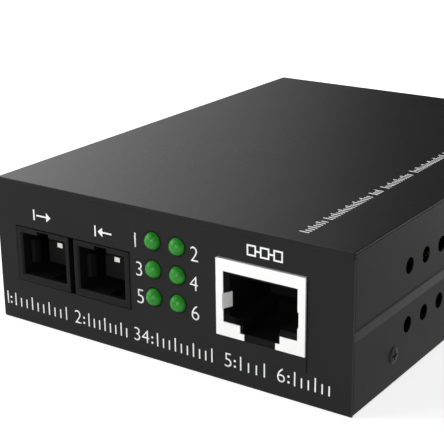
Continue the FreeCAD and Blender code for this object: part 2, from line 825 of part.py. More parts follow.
def can_seat_y():
    """Face of the bulkhead recess that a can sits in."""
    return bulkhead_y() + optic_bulkhead - can_seat


def optic_can(x):
    """Metal can of the light source or the detector, on its flange."""
    flange = can_flange / 2 - can_play
    profile = [(0, 0), (flange, 0), (flange, can_flange_thickness),
               (can_diameter / 2, can_flange_thickness), (can_diameter / 2, can_length),
               (0, can_length)]
    return turned(profile, x, can_seat_y(), optic_axis, Y_AXIS)


def optic_board_z():
    """Underside of the small board."""
    return board_top + optic_board_lift


def optic_board_front():
    """Front edge of the small board, just behind the cans."""
    return can_seat_y() + can_length + can_lead_run - can_lead - optic_board_play


def can_leads():
    """Three leads behind each can, bent down onto the small board."""
    half = can_lead / 2
    y0 = can_seat_y() + can_length
    y1 = y0 + can_lead_run
    foot = optic_board_z() + optic_board_thickness
    leads = []
    for x in optic_axes.values():
        for step in (-1, 0, 1):
            x0 = x + step * can_lead_spacing - half
            outline = [V(x0, y0, optic_axis - half), V(x0, y0, optic_axis + half),
                       V(x0, y1 + half, optic_axis + half), V(x0, y1 + half, foot),
                       V(x0, y1 - half, foot), V(x0, y1 - half, optic_axis - half)]
            leads.append(prism(outline, V(can_lead, 0, 0)))
    return group(leads)


def transceiver_board():
    """Small board that closes the underside of the transceiver."""
    half = optic_width / 2 - optic_wall - optic_board_play
    y1 = optic_rear - optic_wall - optic_board_play
    z0 = optic_board_z()
    board = box(optic_x - half, optic_x + half, optic_board_front(), y1,
                z0, z0 + optic_board_thickness)
    holes = [rod(x, optic_front + pin_setback, z0 - clear_cut, pin_diameter + 2 * press_play,
                 optic_board_thickness + 2 * clear_cut, Z_AXIS, lead_sides)
             for x in optic_pin_xs()]
    return board.cut(holes)


def transceiver_chips():
    """Driver and receiver chips on the small board."""
    y = (optic_board_front() + optic_front + pin_setback) / 2
    z = optic_board_z() + optic_board_thickness
    return group([block_on((x, y), driver_chip_size, z) for x in optic_axes.values()])


def transceiver_pins():
    """Nine pins from the small board through the main board."""
    top = optic_board_z() + optic_board_thickness + lead_stickout / 2
    return group([rod(x, optic_front + pin_setback, lead_end, pin_diameter, top - lead_end,
                      Z_AXIS, lead_sides) for x in optic_pin_xs()])


def transceiver_studs():
    """Two studs under the side walls of the housing."""
    return group([rod(x, optic_front + stud_setback, lead_end, stud_diameter,
                      board_top - lead_end, Z_AXIS, lead_sides) for x in stud_xs()])


# ---- Status lamps ----------------------------------------------------------------
def lamp_back():
    """Back of a lamp's flange."""
    return front - lamp_proud + lamp_body


def lamp(x, z):
    """Tinted lamp with a domed end and a flange."""
    radius = lamp_diameter / 2
    flange_y = lamp_body - lamp_flange_thickness
    dome = []
    for degrees in lamp_dome_steps:
        angle = math.radians(degrees)
        dome.append((radius * math.sin(angle), radius * (1 - math.cos(angle))))
    profile = dome + [(radius, flange_y), (lamp_flange / 2, flange_y),
                      (lamp_flange / 2, lamp_body), (0, lamp_body)]
    return turned(profile, x, front - lamp_proud, z, Y_AXIS, lamp_sides)


def lamp_holder():
    """Moulded block behind the panel: the six lamps plug in until their flanges seat."""
    y0 = front + sheet + seam
    y1 = lamp_back() - lamp_flange_thickness
    block = box(lamp_x - lamp_block / 2, lamp_x + lamp_block / 2, y0, y1,
                board_top, max(lamp_rows) + lamp_flange / 2 + lamp_holder_margin)
    bores = [rod(x, y0 - clear_cut, z, lamp_diameter + 2 * lamp_play, y1 - y0 + 2 * clear_cut,
                 Y_AXIS, lamp_sides) for x in lamp_columns for z in lamp_rows]
    return block.cut(bores)


def lamp_lead_places():
    """Each bent lamp lead: x, height of its run and y of its leg."""
    places = []
    for x in lamp_columns:
        for z, run in zip(lamp_rows, lamp_lead_run):
            for side in (-1, 1):
                places.append((x + side * lamp_lead_spacing / 2, z, lamp_back() + run))
    return places


def lamp_leads():
    """Twelve square leads, bent down into the board."""
    half = lamp_lead / 2
    leads = []
    for x, z, y in lamp_lead_places():
        outline = [V(x - half, lamp_back(), z - half), V(x - half, lamp_back(), z + half),
                   V(x - half, y + half, z + half), V(x - half, y + half, lead_end),
                   V(x - half, y - half, lead_end), V(x - half, y - half, z - half)]
        leads.append(prism(outline, V(lamp_lead, 0, 0)))
    return group(leads)


# ---- Power inlet -------------------------------------------------------------------
def power_tail_ys():
    """Front of each tail: one behind the moulding and one under its middle."""
    return [power_face - power_length - power_tail, power_face - power_length / 2]


def power_inlet_body():
    """Black moulding of the low-voltage inlet."""
    half = power_width / 2
    body = box(power_x - half, power_x + half, power_face - power_flange, power_face,
               board_top, board_top + power_height)
    body = chamfered(body, power_chamfer, lambda edge: edge_at(edge, y=power_face))
    barrel = true_rod(power_x, power_face - power_length, power_axis, power_barrel,
                      power_length - power_flange / 2, Y_AXIS)
    foot = box(power_x - half, power_x + half, power_face - power_length,
               power_face - power_flange / 2, board_top, power_axis)
    body = body.fuse([barrel, foot])
    bore = true_rod(power_x, power_face - power_bore_depth, power_axis, power_bore,
                    power_bore_depth + clear_cut, Y_AXIS)
    seat = rod(power_x, power_face - power_length - clear_cut, power_axis,
               power_pin + 2 * press_play, power_length, Y_AXIS)
    spring_half = power_tail_width / 2 + shield_play
    tail_y = power_tail_ys()[1]
    spring = box(power_x - spring_half, power_x + spring_half,
                 tail_y - power_spring_reach - shield_play, tail_y + power_tail + shield_play,
                 board_top - clear_cut, power_axis)
    return body.cut([bore, seat, spring]).removeSplitter()


def power_inlet_pin():
    """Centre pin with its tail behind the moulding."""
    rear = power_face - power_length
    length = power_length - power_pin_tip
    tip = power_pin / 4
    profile = [(0, 0), (power_pin / 2, 0), (power_pin / 2, length - tip),
               (power_pin / 2 - tip, length), (0, length)]
    pin = turned(profile, power_x, rear, power_axis, Y_AXIS)
    tail = box(power_x - power_tail_width / 2, power_x + power_tail_width / 2,
               rear - power_tail, rear, lead_end, power_axis + power_pin)
    return pin.fuse(tail).removeSplitter()


def power_inlet_spring():
    """Sprung side contact of the inlet, bent from one strip."""
    half = power_tail_width / 2
    tail_y = power_tail_ys()[1]
    floor = power_axis - power_bore / 2
    tip_y = tail_y - power_spring_reach
    outline = [
        V(power_x - half, tail_y, lead_end), V(power_x - half, tail_y, floor - power_tail),
        V(power_x - half, tip_y, floor + power_spring_rise - power_tail),
        V(power_x - half, tip_y, floor + power_spring_rise),
        V(power_x - half, tail_y + power_tail, floor),
        V(power_x - half, tail_y + power_tail, lead_end),
    ]
    return prism(outline, V(power_tail_width, 0, 0))


# ---- Parts on the board -----------------------------------------------------------
def gull_lead(x, y, turn, width, thickness, foot, lift):
    """One bent lead that leaves a chip's side at the origin and ends on the board."""
    y = -width / 2
    outline = [V(0, y, lift), V(0, y, lift + thickness), V(foot / 2, y, thickness),
               V(foot, y, thickness), V(foot, y, 0), V(foot / 2 - thickness / 2, y, 0)]
    lead = prism(outline, V(0, width, 0))
    lead.Placement = FreeCAD.Placement(V(x, y, board_top), FreeCAD.Rotation(Z_AXIS, turn))
    return lead


def lead_row(place, half, count, pitch, turn, lift):
    """Row of leads along one side of a chip."""
    angle = math.radians(turn)
    outward = V(math.cos(angle), math.sin(angle), 0)
    along = V(-math.sin(angle), math.cos(angle), 0)
    leads = []
    for index in range(count):
        step = (index - (count - 1) / 2) * pitch
        leads.append(gull_lead(place[0] + outward.x * half + along.x * step,
                               place[1] + outward.y * half + along.y * step,
                               turn, chip_lead_width, chip_lead_thickness, chip_foot, lift))
    return leads


def switch_chip():
    """Square body of the main chip."""
    z0 = board_top + chip_lift
    body = block_on(on_board(chip_place), (chip_size, chip_size, chip_height), z0)
    return chamfered(body, chip_height / 4, lambda edge: edge_at(edge, z=z0 + chip_height))


def switch_chip_leads():
    """Leads along all four sides of the main chip."""
    leads = []
    for turn in (0, 90, 180, 270):
        leads += lead_row(on_board(chip_place), chip_size / 2, chip_lead_count,
                          chip_lead_pitch, turn, chip_height / 2)
    return group(leads)


def line_transformer():
    """Moulded transformer between the jack and the chip."""
    return block_on(on_board(magnetics_place), magnetics_size, board_top + chip_lift)


def line_transformer_leads():
    """Two rows of leads of the transformer."""
    leads = []
    for turn in (90, 270):
        leads += lead_row(on_board(magnetics_place), magnetics_size[1] / 2,
                          magnetics_lead_count, magnetics_lead_pitch, turn, chip_height / 2)
    return group(leads)


def memory_chip():
    """Small chip that holds the settings."""
    return block_on(on_board(memory_place), memory_size, board_top + chip_lift)


def memory_chip_leads():
    """Two rows of leads of the small chip."""
    leads = []
    for turn in (90, 270):
        leads += lead_row(on_board(memory_place), memory_size[1] / 2, memory_lead_count,
                          memory_lead_pitch, turn, chip_height / 2)
    return group(leads)


def crystal():
    """Metal can of the clock crystal, with round ends and a flange."""
    length, width, height = crystal_size
    place = on_board(crystal_place)
    base = rounded(block_on(place, (length, width, crystal_flange), board_top),
                   width / 2 * crystal_end, upright)
    can_size = (length - 2 * crystal_flange, width - 2 * crystal_flange, height)
    can = rounded(block_on(place, can_size, board_top), can_size[1] / 2 * crystal_end, upright)
    return base.fuse(can).removeSplitter()


def capacitors():
    """Upright can capacitors with a rolled groove above the base."""
    cans = []
    for place, (diameter, height) in zip(capacitor_places, capacitor_sizes):
        x, y = on_board(place)
        radius = diameter / 2
        groove = diameter * capacitor_groove
        profile = [(0, 0), (radius, 0), (radius, 3 * groove), (radius - groove, 4 * groove),
                   (radius, 5 * groove), (radius, height - groove), (radius - groove, height),
                   (0, height)]
        cans.append(turned(profile, x, y, board_top, Z_AXIS, lamp_sides))
    return group(cans)


def capacitor_lead_places():
    """Point of each capacitor lead on the board."""
    places = []
    for place, (diameter, _) in zip(capacitor_places, capacitor_sizes):
        x, y = on_board(place)
        places += [(x + side * diameter * capacitor_lead_share, y) for side in (-1, 1)]
    return places


def capacitor_leads():
    """Two leads under each capacitor."""
    return group([rod(x, y, lead_end, lamp_lead, board_top - lead_end, Z_AXIS, lead_sides)
                  for x, y in capacitor_lead_places()])


def power_inductor():
    """Shielded inductor with cut corners."""
    body = block_on(on_board(inductor_place), inductor_size, board_top)
    return chamfered(body, inductor_size[0] / 6, upright)


def voltage_regulator():
    """Regulator body with its heat tab."""
    length, width, height = regulator_size
    x, y = on_board(regulator_place)
    half_tab = width * regulator_tab_share / 2
    body = block_on((x, y), regulator_size, board_top)
    plate = box(x - length / 2 - width / 4, x, y - half_tab, y + half_tab,
                board_top, board_top + height / 4)
    return body.fuse(plate).removeSplitter()


def fuse_disc():
    """Resettable fuse: an upright coated disc."""
    radius = fuse_diameter / 2
    edge = fuse_thickness / 4
    profile = [(0, 0), (radius - edge, 0), (radius, edge), (radius, fuse_thickness - edge),
               (radius - edge, fuse_thickness), (0, fuse_thickness)]
    x, y = on_board(fuse_place)
    return turned(profile, x - fuse_thickness / 2, y, fuse_centre_z(), X_AXIS)


def fuse_centre_z():
    """Middle of the disc, which hangs between its leads above the board."""
    return board_top + fuse_diameter / 2 + fuse_lift


def fuse_lead_places():
    """Point of each fuse lead on the board, one at each face of the disc."""
    x, y = on_board(fuse_place)
    return [(x + side * (fuse_thickness + lamp_lead) / 2, y + side * fuse_lead_spacing / 2)
            for side in (-1, 1)]


def fuse_leads():
    """Two upright leads that hold the disc at its faces."""
    size = (lamp_lead, lamp_lead, fuse_centre_z() - lead_end)
    return group([block_on(place, size, lead_end) for place in fuse_lead_places()])


def protection_diode():
    """Surge diode at the power inlet."""
    body = block_on(on_board(diode_place), diode_size, board_top)
    top = board_top + diode_size[2]
    return chamfered(body, diode_size[1] / 8, lambda edge: edge_at(edge, z=top))


def chip_passives():
    """Small resistors and capacitors."""
    return group([block_on(on_board(place), passive_size, board_top)
                  for place in passive_places])


# ---- Files ----------------------------------------------------------------------
def all_pieces():
    """Every node of the part by name."""
    pieces = {
        "top_cover": top_cover(),
        "base_tray": base_tray(),
        "side_screws": side_screws(),
        "circuit_board": circuit_board(),
        "board_standoffs": board_standoffs(),
        "board_screws": board_screws(),
        "jack_shield": jack_shield(),
        "jack_insulator": jack_insulator(),
        "jack_contacts": jack_contacts(),
        "transceiver_housing": transceiver_housing(),
        "can_leads": can_leads(),
        "transceiver_board": transceiver_board(),
        "transceiver_chips": transceiver_chips(),
        "transceiver_pins": transceiver_pins(),
        "transceiver_studs": transceiver_studs(),
        "lamp_holder": lamp_holder(),
        "lamp_leads": lamp_leads(),
        "power_inlet_body": power_inlet_body(),
        "power_inlet_pin": power_inlet_pin(),
        "power_inlet_spring": power_inlet_spring(),
        "switch_chip": switch_chip(),
        "switch_chip_leads": switch_chip_leads(),
        "line_transformer": line_transformer(),
        "line_transformer_leads": line_transformer_leads(),
        "memory_chip": memory_chip(),
        "memory_chip_leads": memory_chip_leads(),
        "crystal": crystal(),
        "capacitors": capacitors(),
        "capacitor_leads": capacitor_leads(),
        "power_inductor": power_inductor(),
        "voltage_regulator": voltage_regulator(),
        "fuse_disc": fuse_disc(),
        "fuse_leads": fuse_leads(),
        "protection_diode": protection_diode(),
        "chip_passives": chip_passives(),
    }
    cans = {"transmit": "transmitter_can", "receive": "receiver_can"}
    for name, x in optic_axes.items():
        pieces[name + "_sleeve"] = fibre_sleeve(x)
        pieces[name + "_latch"] = fibre_latch(x)
        pieces[cans[name]] = optic_can(x)
    number = 0
    for z in lamp_rows:
        for x in lamp_columns:
            number += 1
            pieces["lamp_" + str(number)] = lamp(x, z)
    return pieces


def write_parts():
    """One STEP file for each node."""
    os.makedirs("parts", exist_ok=True)
    for name, shape in all_pieces().items():
        shape.exportStep(os.path.join("parts", name + ".step"))
        print(name, len(shape.Solids), "valid" if shape.isValid() else "NOT VALID",
              round(shape.Volume, 1))


write_parts()
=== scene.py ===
"""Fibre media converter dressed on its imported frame: case, ports, lamps, screws, print and studio.

Metres. X runs to the right along the front, Y from the front to the back, Z up.
"""

import json
import logging
import math
from collections.abc import Callable, Iterable
from dataclasses import dataclass, field
from enum import Enum

import bmesh
import bpy
from mathutils import Matrix, Vector


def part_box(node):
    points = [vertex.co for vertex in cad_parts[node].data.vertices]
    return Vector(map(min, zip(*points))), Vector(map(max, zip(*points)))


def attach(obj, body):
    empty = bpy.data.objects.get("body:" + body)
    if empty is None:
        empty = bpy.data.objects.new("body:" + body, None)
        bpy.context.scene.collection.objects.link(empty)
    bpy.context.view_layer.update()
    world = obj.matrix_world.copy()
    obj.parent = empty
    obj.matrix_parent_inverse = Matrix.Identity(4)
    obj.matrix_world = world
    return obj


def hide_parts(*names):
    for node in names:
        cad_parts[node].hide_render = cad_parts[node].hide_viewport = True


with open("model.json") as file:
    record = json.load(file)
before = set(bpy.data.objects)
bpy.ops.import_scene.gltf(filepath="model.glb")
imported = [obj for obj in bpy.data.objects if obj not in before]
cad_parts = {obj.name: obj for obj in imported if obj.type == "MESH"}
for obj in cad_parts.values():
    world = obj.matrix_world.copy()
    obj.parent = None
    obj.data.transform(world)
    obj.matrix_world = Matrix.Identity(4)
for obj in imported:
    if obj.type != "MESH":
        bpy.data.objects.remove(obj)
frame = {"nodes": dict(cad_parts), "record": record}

LOG = logging.getLogger("converter")
MM = 0.001
BODY = "root"
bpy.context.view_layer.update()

CASE_HALF_WIDTH = 35.0 * MM
SCREW_INSET = 13.4 * MM     # from the panels' faces
SCREW_LEVEL = 5.0 * MM      # above the underside
HALF_BEND = math.pi / 8     # half of the 45 degree bend beside a bead
NEAR = 1e-6                 # points nearer than this are one point
FLAT_ANGLE = 0.5            # degrees; faces nearer to flat than this are one face
SMOOTH_ANGLE = 33.0         # degrees past which an edge stays an edge
ROUND_ANGLE = 40.0          # the same on coarse rounds
NOISE_BAND = (0.3, 0.7)     # where most values of a noise lie
BLACK = (0.0, 0.0, 0.0, 1.0)
WHITE = (1.0, 1.0, 1.0, 1.0)

Point = tuple[float, float]
Colour = tuple[float, float, float]


class Joined(Enum):
    """Ways to put two solids together."""

    CUT = "DIFFERENCE"
    FUSE = "UNION"


class Facing(Enum):
    """Turn that brings a piece made along +Z to face a side of the case."""

    RIGHT = (0.0, math.pi / 2, 0.0)
    LEFT = (0.0, -math.pi / 2, 0.0)
    FRONT = (math.pi / 2, 0.0, 0.0)


# ---- Node graphs --------------------------------------------------------------
class Graph:
    """Node tree of a material, a world or a modifier, with short ways to add to it."""

    def __init__(self, tree: bpy.types.NodeTree) -> None:
        """Work on a tree."""
        self.tree = tree

    @classmethod
    def emptied(cls, owner: bpy.types.Material | bpy.types.World) -> "Graph":
        """Empty the tree of a material or a world.

        Args:
            owner: material or world.

        Returns:
            The graph over its tree.
        """
        owner.use_nodes = True
        owner.node_tree.nodes.clear()
        return cls(owner.node_tree)

    def node(self, kind: str, links: dict[str | int, bpy.types.NodeSocket] | None = None,
             values: dict[str, object] | None = None, **settings: object) -> bpy.types.Node:
        """Add a node.

        Args:
            kind: Blender's name of the node type.
            links: sockets to feed, by the input's name or place.
            values: constants, by input name.
            settings: properties of the node.

        Returns:
            The node.
        """
        made = self.tree.nodes.new(kind)
        for key, value in settings.items():
            setattr(made, key, value)
        for key, value in (values or {}).items():
            made.inputs[key].default_value = value
        for key, socket in (links or {}).items():
            self.tree.links.new(socket, made.inputs[key])
        return made

    def math(self, operation: str, *operands: bpy.types.NodeSocket | float) -> bpy.types.NodeSocket:
        """Add a maths node.

        Args:
            operation: Blender's name of the operation.
            operands: sockets or numbers.

        Returns:
            The result.
        """
        made = self.tree.nodes.new("ShaderNodeMath")
        made.operation = operation
        for index, operand in enumerate(operands):
            if isinstance(operand, (int, float)):
                made.inputs[index].default_value = operand
            else:
                self.tree.links.new(operand, made.inputs[index])
        return made.outputs[0]


# ---- Finishes -----------------------------------------------------------------
@dataclass(frozen=True)
class Finish:
    """Surface with a slow drift of tone, a fine grain and a gloss that follows the grain."""

    name: str
    slot: str
    tone: Colour
    drift: float = 0.12
    drift_size: float = 9 * MM
    drift_detail: float = 3.0
    gloss: tuple[float, float] = (0.4, 0.5)
    grain_size: float = 0.35 * MM
    grain_depth: float = 0.004 * MM
    grain_detail: float = 2.0
    stretch: tuple[float, float, float] = (1.0, 1.0, 1.0)
    metallic: float = 0.0
    specular: float = 0.5

    def build(self) -> bpy.types.Material:
        """Make the material.

        Returns:
            The material, ready to assign.
        """
        material = bpy.data.materials.new(self.name)
        graph = Graph.emptied(material)
        place = graph.node("ShaderNodeTexCoord").outputs["Object"]
        drift = graph.node("ShaderNodeTexNoise", links={"Vector": place},
                           values={"Scale": 1 / self.drift_size, "Detail": self.drift_detail})
        tones = graph.node("ShaderNodeValToRGB", links={"Fac": drift.outputs["Fac"]})
        low, high = tones.color_ramp.elements
        low.position, high.position = NOISE_BAND
        low.color = (*(channel * (1 - self.drift) for channel in self.tone), 1)
        high.color = (*(min(channel * (1 + self.drift), 1) for channel in self.tone), 1)
        spread = graph.node("ShaderNodeMapping", links={"Vector": place},
                            values={"Scale": self.stretch})
        grain = graph.node("ShaderNodeTexNoise", links={"Vector": spread.outputs["Vector"]},
                           values={"Scale": 1 / self.grain_size, "Detail": self.grain_detail})
        gloss = graph.node("ShaderNodeMapRange", links={"Value": grain.outputs["Fac"]},
                           values={"From Min": NOISE_BAND[0], "From Max": NOISE_BAND[1],
                                   "To Min": self.gloss[0], "To Max": self.gloss[1]})
        bump = graph.node("ShaderNodeBump", links={"Height": grain.outputs["Fac"]},
                          values={"Strength": 1, "Distance": self.grain_depth})
        colour = self.tinted(graph, place, tones.outputs["Color"])
        shader = graph.node("ShaderNodeBsdfPrincipled",
                            links={"Base Color": colour, "Roughness": gloss.outputs["Result"],
                                   "Normal": bump.outputs["Normal"]},
                            values={"Metallic": self.metallic,
                                    "Specular IOR Level": self.specular})
        self.dress(shader)
        graph.node("ShaderNodeOutputMaterial", links={"Surface": shader.outputs["BSDF"]})
        return material

    def tinted(self, graph: Graph, place: bpy.types.NodeSocket,
               tone: bpy.types.NodeSocket) -> bpy.types.NodeSocket:
        """Colour of the plain drift; a finish with a pattern adds to it."""
        return tone

    def dress(self, shader: bpy.types.Node) -> None:
        """Set what only some finishes have; the plain one has nothing more."""


@dataclass(frozen=True)
class CloudyResin(Finish):
    """Tinted resin that lets a little light sink in."""

    depth: float = 0.6 * MM
    sink: float = 0.15
    spread: Colour = (0.3, 1.0, 0.3)

    def dress(self, shader: bpy.types.Node) -> None:
        """Let light sink into the resin.

        Args:
            shader: the finish's surface shader.
        """
        shader.inputs["Subsurface Weight"].default_value = self.sink
        shader.inputs["Subsurface Radius"].default_value = self.spread
        shader.inputs["Subsurface Scale"].default_value = self.depth


@dataclass(frozen=True)
class BoardMask(Finish):
    """Solder mask with the copper runs showing through as a paler tone."""

    run_pitch: float = 1.6 * MM
    run_width: float = 0.06
    run_tone: Colour = (0.006, 0.03, 0.014)

    def tinted(self, graph: Graph, place: bpy.types.NodeSocket,
               tone: bpy.types.NodeSocket) -> bpy.types.NodeSocket:
        """Mix the paler runs over the mask.

        Args:
            graph: graph of the material.
            place: object coordinates.
            tone: drift of the mask's own tone.

        Returns:
            Colour output of the mix.
        """
        runs = graph.node("ShaderNodeTexBrick", links={"Vector": place},
                          values={"Scale": 1 / self.run_pitch, "Mortar Size": self.run_width,
                                  "Color1": BLACK, "Color2": BLACK, "Mortar": WHITE})
        mix = graph.node("ShaderNodeMix", links={"Factor": runs.outputs["Color"], "A": tone},
                         values={"B": (*self.run_tone, 1)}, data_type="RGBA")
        return mix.outputs["Result"]


CASE_PAINT = Finish("case_paint_satin", "case_paint", (0.0185, 0.0185, 0.0187), drift=0.06,
                    drift_size=14 * MM, gloss=(0.27, 0.32), grain_size=0.3 * MM,
                    grain_depth=0.0012 * MM, specular=0.045)
SCREW_BLACK = Finish("screw_black_zinc", "black_screw", (0.024, 0.024, 0.025), gloss=(0.3, 0.42),
                     grain_size=0.12 * MM, grain_depth=0.001 * MM, specular=0.09)
JACK_PLATE = Finish("jack_bright_plate", "jack_plating", (0.82, 0.82, 0.815), drift=0.02,
                    gloss=(0.3, 0.38), grain_size=0.4 * MM, grain_depth=0.001 * MM,
                    stretch=(1, 1, 6), metallic=0.35)
STEEL_PLATE = Finish("steel_nickel_plate", "plated_steel", (0.6, 0.6, 0.58), drift=0.06,
                     gloss=(0.24, 0.36), grain_size=0.2 * MM, stretch=(1, 1, 5), metallic=1.0)
TINNED = Finish("lead_dull_tin", "tinned_lead", (0.62, 0.62, 0.62), drift=0.1,
                gloss=(0.35, 0.5), grain_size=0.15 * MM, metallic=1.0)
GOLD = Finish("contact_gold_flash", "gold_contact", (0.8, 0.58, 0.24), drift=0.06,
              gloss=(0.2, 0.3), grain_size=0.1 * MM, grain_depth=0.001 * MM, metallic=1.0)
MOULDING = Finish("moulding_spark_black", "black_moulding", (0.006, 0.006, 0.0063), drift=0.12,
                  gloss=(0.42, 0.56), grain_size=0.12 * MM, grain_depth=0.004 * MM, specular=0.1)
# Deepest black: for the jack's moulding and the latches, and for the black strips, rings and caps
# that paint shade in gaps and over the sleeves.
BLACK_AND_PAINTED_SHADE = Finish("bore_deep_black", "black_moulding", (0.004, 0.004, 0.004), drift=0.1,
                    gloss=(0.5, 0.6), grain_size=0.12 * MM, specular=0.06)
CERAMIC = Finish("sleeve_pale_ceramic", "sleeve_ceramic", (0.8, 0.79, 0.76), drift=0.04,
                 gloss=(0.12, 0.2), grain_size=0.3 * MM, grain_depth=0.0005 * MM)
LAMP_GREEN = CloudyResin("lamp_cloudy_green", "green_lamp", (0.014, 0.22, 0.013), drift=0.18,
                         drift_size=1.1 * MM, gloss=(0.3, 0.42), grain_size=0.25 * MM,
                         grain_depth=0.002 * MM, specular=0.3)
MASK = BoardMask("board_green_mask", "board_laminate", (0.003, 0.014, 0.007), gloss=(0.3, 0.4))
CHIP = Finish("chip_matt_resin", "chip_resin", (0.022, 0.022, 0.024), gloss=(0.5, 0.65),
              grain_size=0.1 * MM)
CAN_SLEEVE = Finish("capacitor_blue_sleeve", "capacitor_sleeve", (0.015, 0.025, 0.07),
                    gloss=(0.25, 0.35))
FERRITE = Finish("ferrite_matt_grey", "ferrite_grey", (0.07, 0.07, 0.075), gloss=(0.55, 0.7),
                 grain_size=0.15 * MM, grain_depth=0.01 * MM)
FUSE = Finish("fuse_dipped_yellow", "fuse_coating", (0.5, 0.28, 0.04), gloss=(0.3, 0.42))
TAN = Finish("passive_tan_ceramic", "passive_body", (0.32, 0.24, 0.16), gloss=(0.4, 0.55),
             drift_size=1 * MM)
INK = Finish("print_white_ink", "case_paint", (0.82, 0.82, 0.82), drift=0.03, drift_size=1 * MM,
             gloss=(0.45, 0.55), grain_size=0.1 * MM, grain_depth=0.001 * MM, specular=0.3)
FINISHES = (CASE_PAINT, SCREW_BLACK, JACK_PLATE, STEEL_PLATE, TINNED, GOLD, MOULDING,
            BLACK_AND_PAINTED_SHADE, CERAMIC, LAMP_GREEN, MASK, CHIP, CAN_SLEEVE, FERRITE, FUSE, TAN, INK)


class FinishShelf:
    """Every finish's material, made once."""

    def __init__(self, finishes: Iterable[Finish]) -> None:
        """Build the material of each finish.

        Args:
            finishes: the finishes; the first one of a slot dresses that slot's CAD nodes.
        """
        self.materials = {finish.name: finish.build() for finish in finishes}
        self.by_slot: dict[str, Finish] = {}
        for finish in finishes:
            self.by_slot.setdefault(finish.slot, finish)

    def material(self, finish: Finish) -> bpy.types.Material:
        """Material of a finish."""
        return self.materials[finish.name]

    def dress_nodes(self) -> None:
        """Give every CAD node that still shows the finish of its slot."""
        slots = {part["node"]: part["material_slot"] for part in frame["record"]["subparts"]}
        for name, node in frame["nodes"].items():
            node.data.materials.clear()
            node.data.materials.append(self.material(self.by_slot[slots[name]]))


# ---- Mesh helpers -------------------------------------------------------------
def front_centre(node: str) -> Vector:
    """Middle of the front of a CAD node's box."""
    lo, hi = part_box(node)
    return Vector(((lo.x + hi.x) / 2, lo.y, (lo.z + hi.z) / 2))


def new_piece(name: str, mesh: bpy.types.ID) -> bpy.types.Object:
    """Put a mesh or a curve in the scene as an object at the origin.

    Args:
        name: of the object.
        mesh: what it shows.

    Returns:
        The object.
    """
    piece = bpy.data.objects.new(name, mesh)
    bpy.context.scene.collection.objects.link(piece)
    return piece


def from_bmesh(name: str, shape: bmesh.types.BMesh, turn_out: bool = True) -> bpy.types.Object:
    """Turn a bmesh into an object and free it.

    Args:
        name: of the object.
        shape: bmesh, used up.
        turn_out: whether to turn its faces outwards first.

    Returns:
        The object.
    """
    if turn_out:
        bmesh.ops.recalc_face_normals(shape, faces=shape.faces)
    mesh = bpy.data.meshes.new(name)
    shape.to_mesh(mesh)
    shape.free()
    return new_piece(name, mesh)


def settle(piece: bpy.types.Object) -> bpy.types.Object:
    """Turn what the modifiers give into the plain mesh of the piece, and remove them.

    Args:
        piece: object with modifiers.

    Returns:
        The same object with its final mesh.
    """
    evaluated = piece.evaluated_get(bpy.context.evaluated_depsgraph_get())
    mesh = bpy.data.meshes.new_from_object(evaluated)
    piece.modifiers.clear()
    piece.data = mesh
    mesh.name = piece.name
    return piece


def join_solids(piece: bpy.types.Object, other: bpy.types.Object, way: Joined) -> bpy.types.Object:
    """Cut or fuse another solid, which is used up.

    Args:
        piece: solid to change.
        other: cutter or addition.
        way: cut or fuse.

    Returns:
        The changed solid.
    """
    step = piece.modifiers.new("solid_step", "BOOLEAN")
    step.object = other
    step.operation = way.value
    step.solver = "EXACT"
    settle(piece)
    bpy.data.objects.remove(other)
    return piece


def block(lo: Iterable[float], hi: Iterable[float], radius: float = 0.0, segments: int = 8,
          wanted: Callable[[Vector, Vector], bool] | None = None) -> bpy.types.Object:
    """Block between two corners, with round edges where a test on an edge's ends asks.

    Args:
        lo: lowest corner.
        hi: highest corner.
        radius: of the round edges.
        segments: flats on each round edge.
        wanted: test on the two ends of an edge.

    Returns:
        The block as an object.
    """
    shape = bmesh.new()
    bmesh.ops.create_cube(shape, size=1)
    lo, hi = Vector(lo), Vector(hi)
    for vert in shape.verts:
        vert.co = Vector(lo[axis] if vert.co[axis] < 0 else hi[axis] for axis in range(3))
    if wanted is not None:
        edges = [edge for edge in shape.edges if wanted(edge.verts[0].co, edge.verts[1].co)]
        bmesh.ops.bevel(shape, geom=edges, offset=radius, segments=segments, profile=0.5,
                        affect="EDGES")
    return from_bmesh("block", shape)


def swept(outline: list[Vector], along: Vector) -> bpy.types.Object:
    """Solid swept from a flat closed outline.

    Args:
        outline: corners in order.
        along: path of the sweep.

    Returns:
        The solid as an object.
    """
    shape = bmesh.new()
    face = shape.faces.new([shape.verts.new(point) for point in outline])
    pushed = bmesh.ops.extrude_face_region(shape, geom=[face])["geom"]
    moved = [item for item in pushed if isinstance(item, bmesh.types.BMVert)]
    bmesh.ops.translate(shape, verts=moved, vec=along)
    return from_bmesh("swept", shape)


def turned(profile: list[Point], sides: int = 48) -> bmesh.types.BMesh:
    """Turned solid about Z from (radius, height) points.

    Args:
        profile: closed outline; points on the axis have radius 0.
        sides: flats round the axis.

    Returns:
        A closed bmesh.
    """
    shape = bmesh.new()
    rings = []
    for radius, height in profile:
        if radius == 0:
            rings.append([shape.verts.new((0, 0, height))] * sides)
            continue
        angles = [2 * math.pi * index / sides for index in range(sides)]
        rings.append([shape.verts.new((radius * math.cos(a), radius * math.sin(a), height))
                      for a in angles])
    for low, high in zip(rings, rings[1:] + rings[:1]):
        for index in range(sides):
            after = (index + 1) % sides
            corners = list(dict.fromkeys([low[index], low[after], high[after], high[index]]))
            if len(corners) > 2:
                shape.faces.new(corners)
    return shape


def smooth_by_angle(piece: bpy.types.Object, degrees: float = SMOOTH_ANGLE) -> bpy.types.Object:
    """Shade smooth with sharp edges past an angle, and flat faces kept flat.

    Args:
        piece: object to shade.
        degrees: angle past which an edge stays an edge.

    Returns:
        The same object.
    """
    piece.data.shade_smooth()
    piece.data.set_sharp_from_angle(angle=math.radians(degrees))
    weigh = piece.modifiers.new("face_weights", "WEIGHTED_NORMAL")
    weigh.keep_sharp = True
    weigh.weight = 90
    return settle(piece)


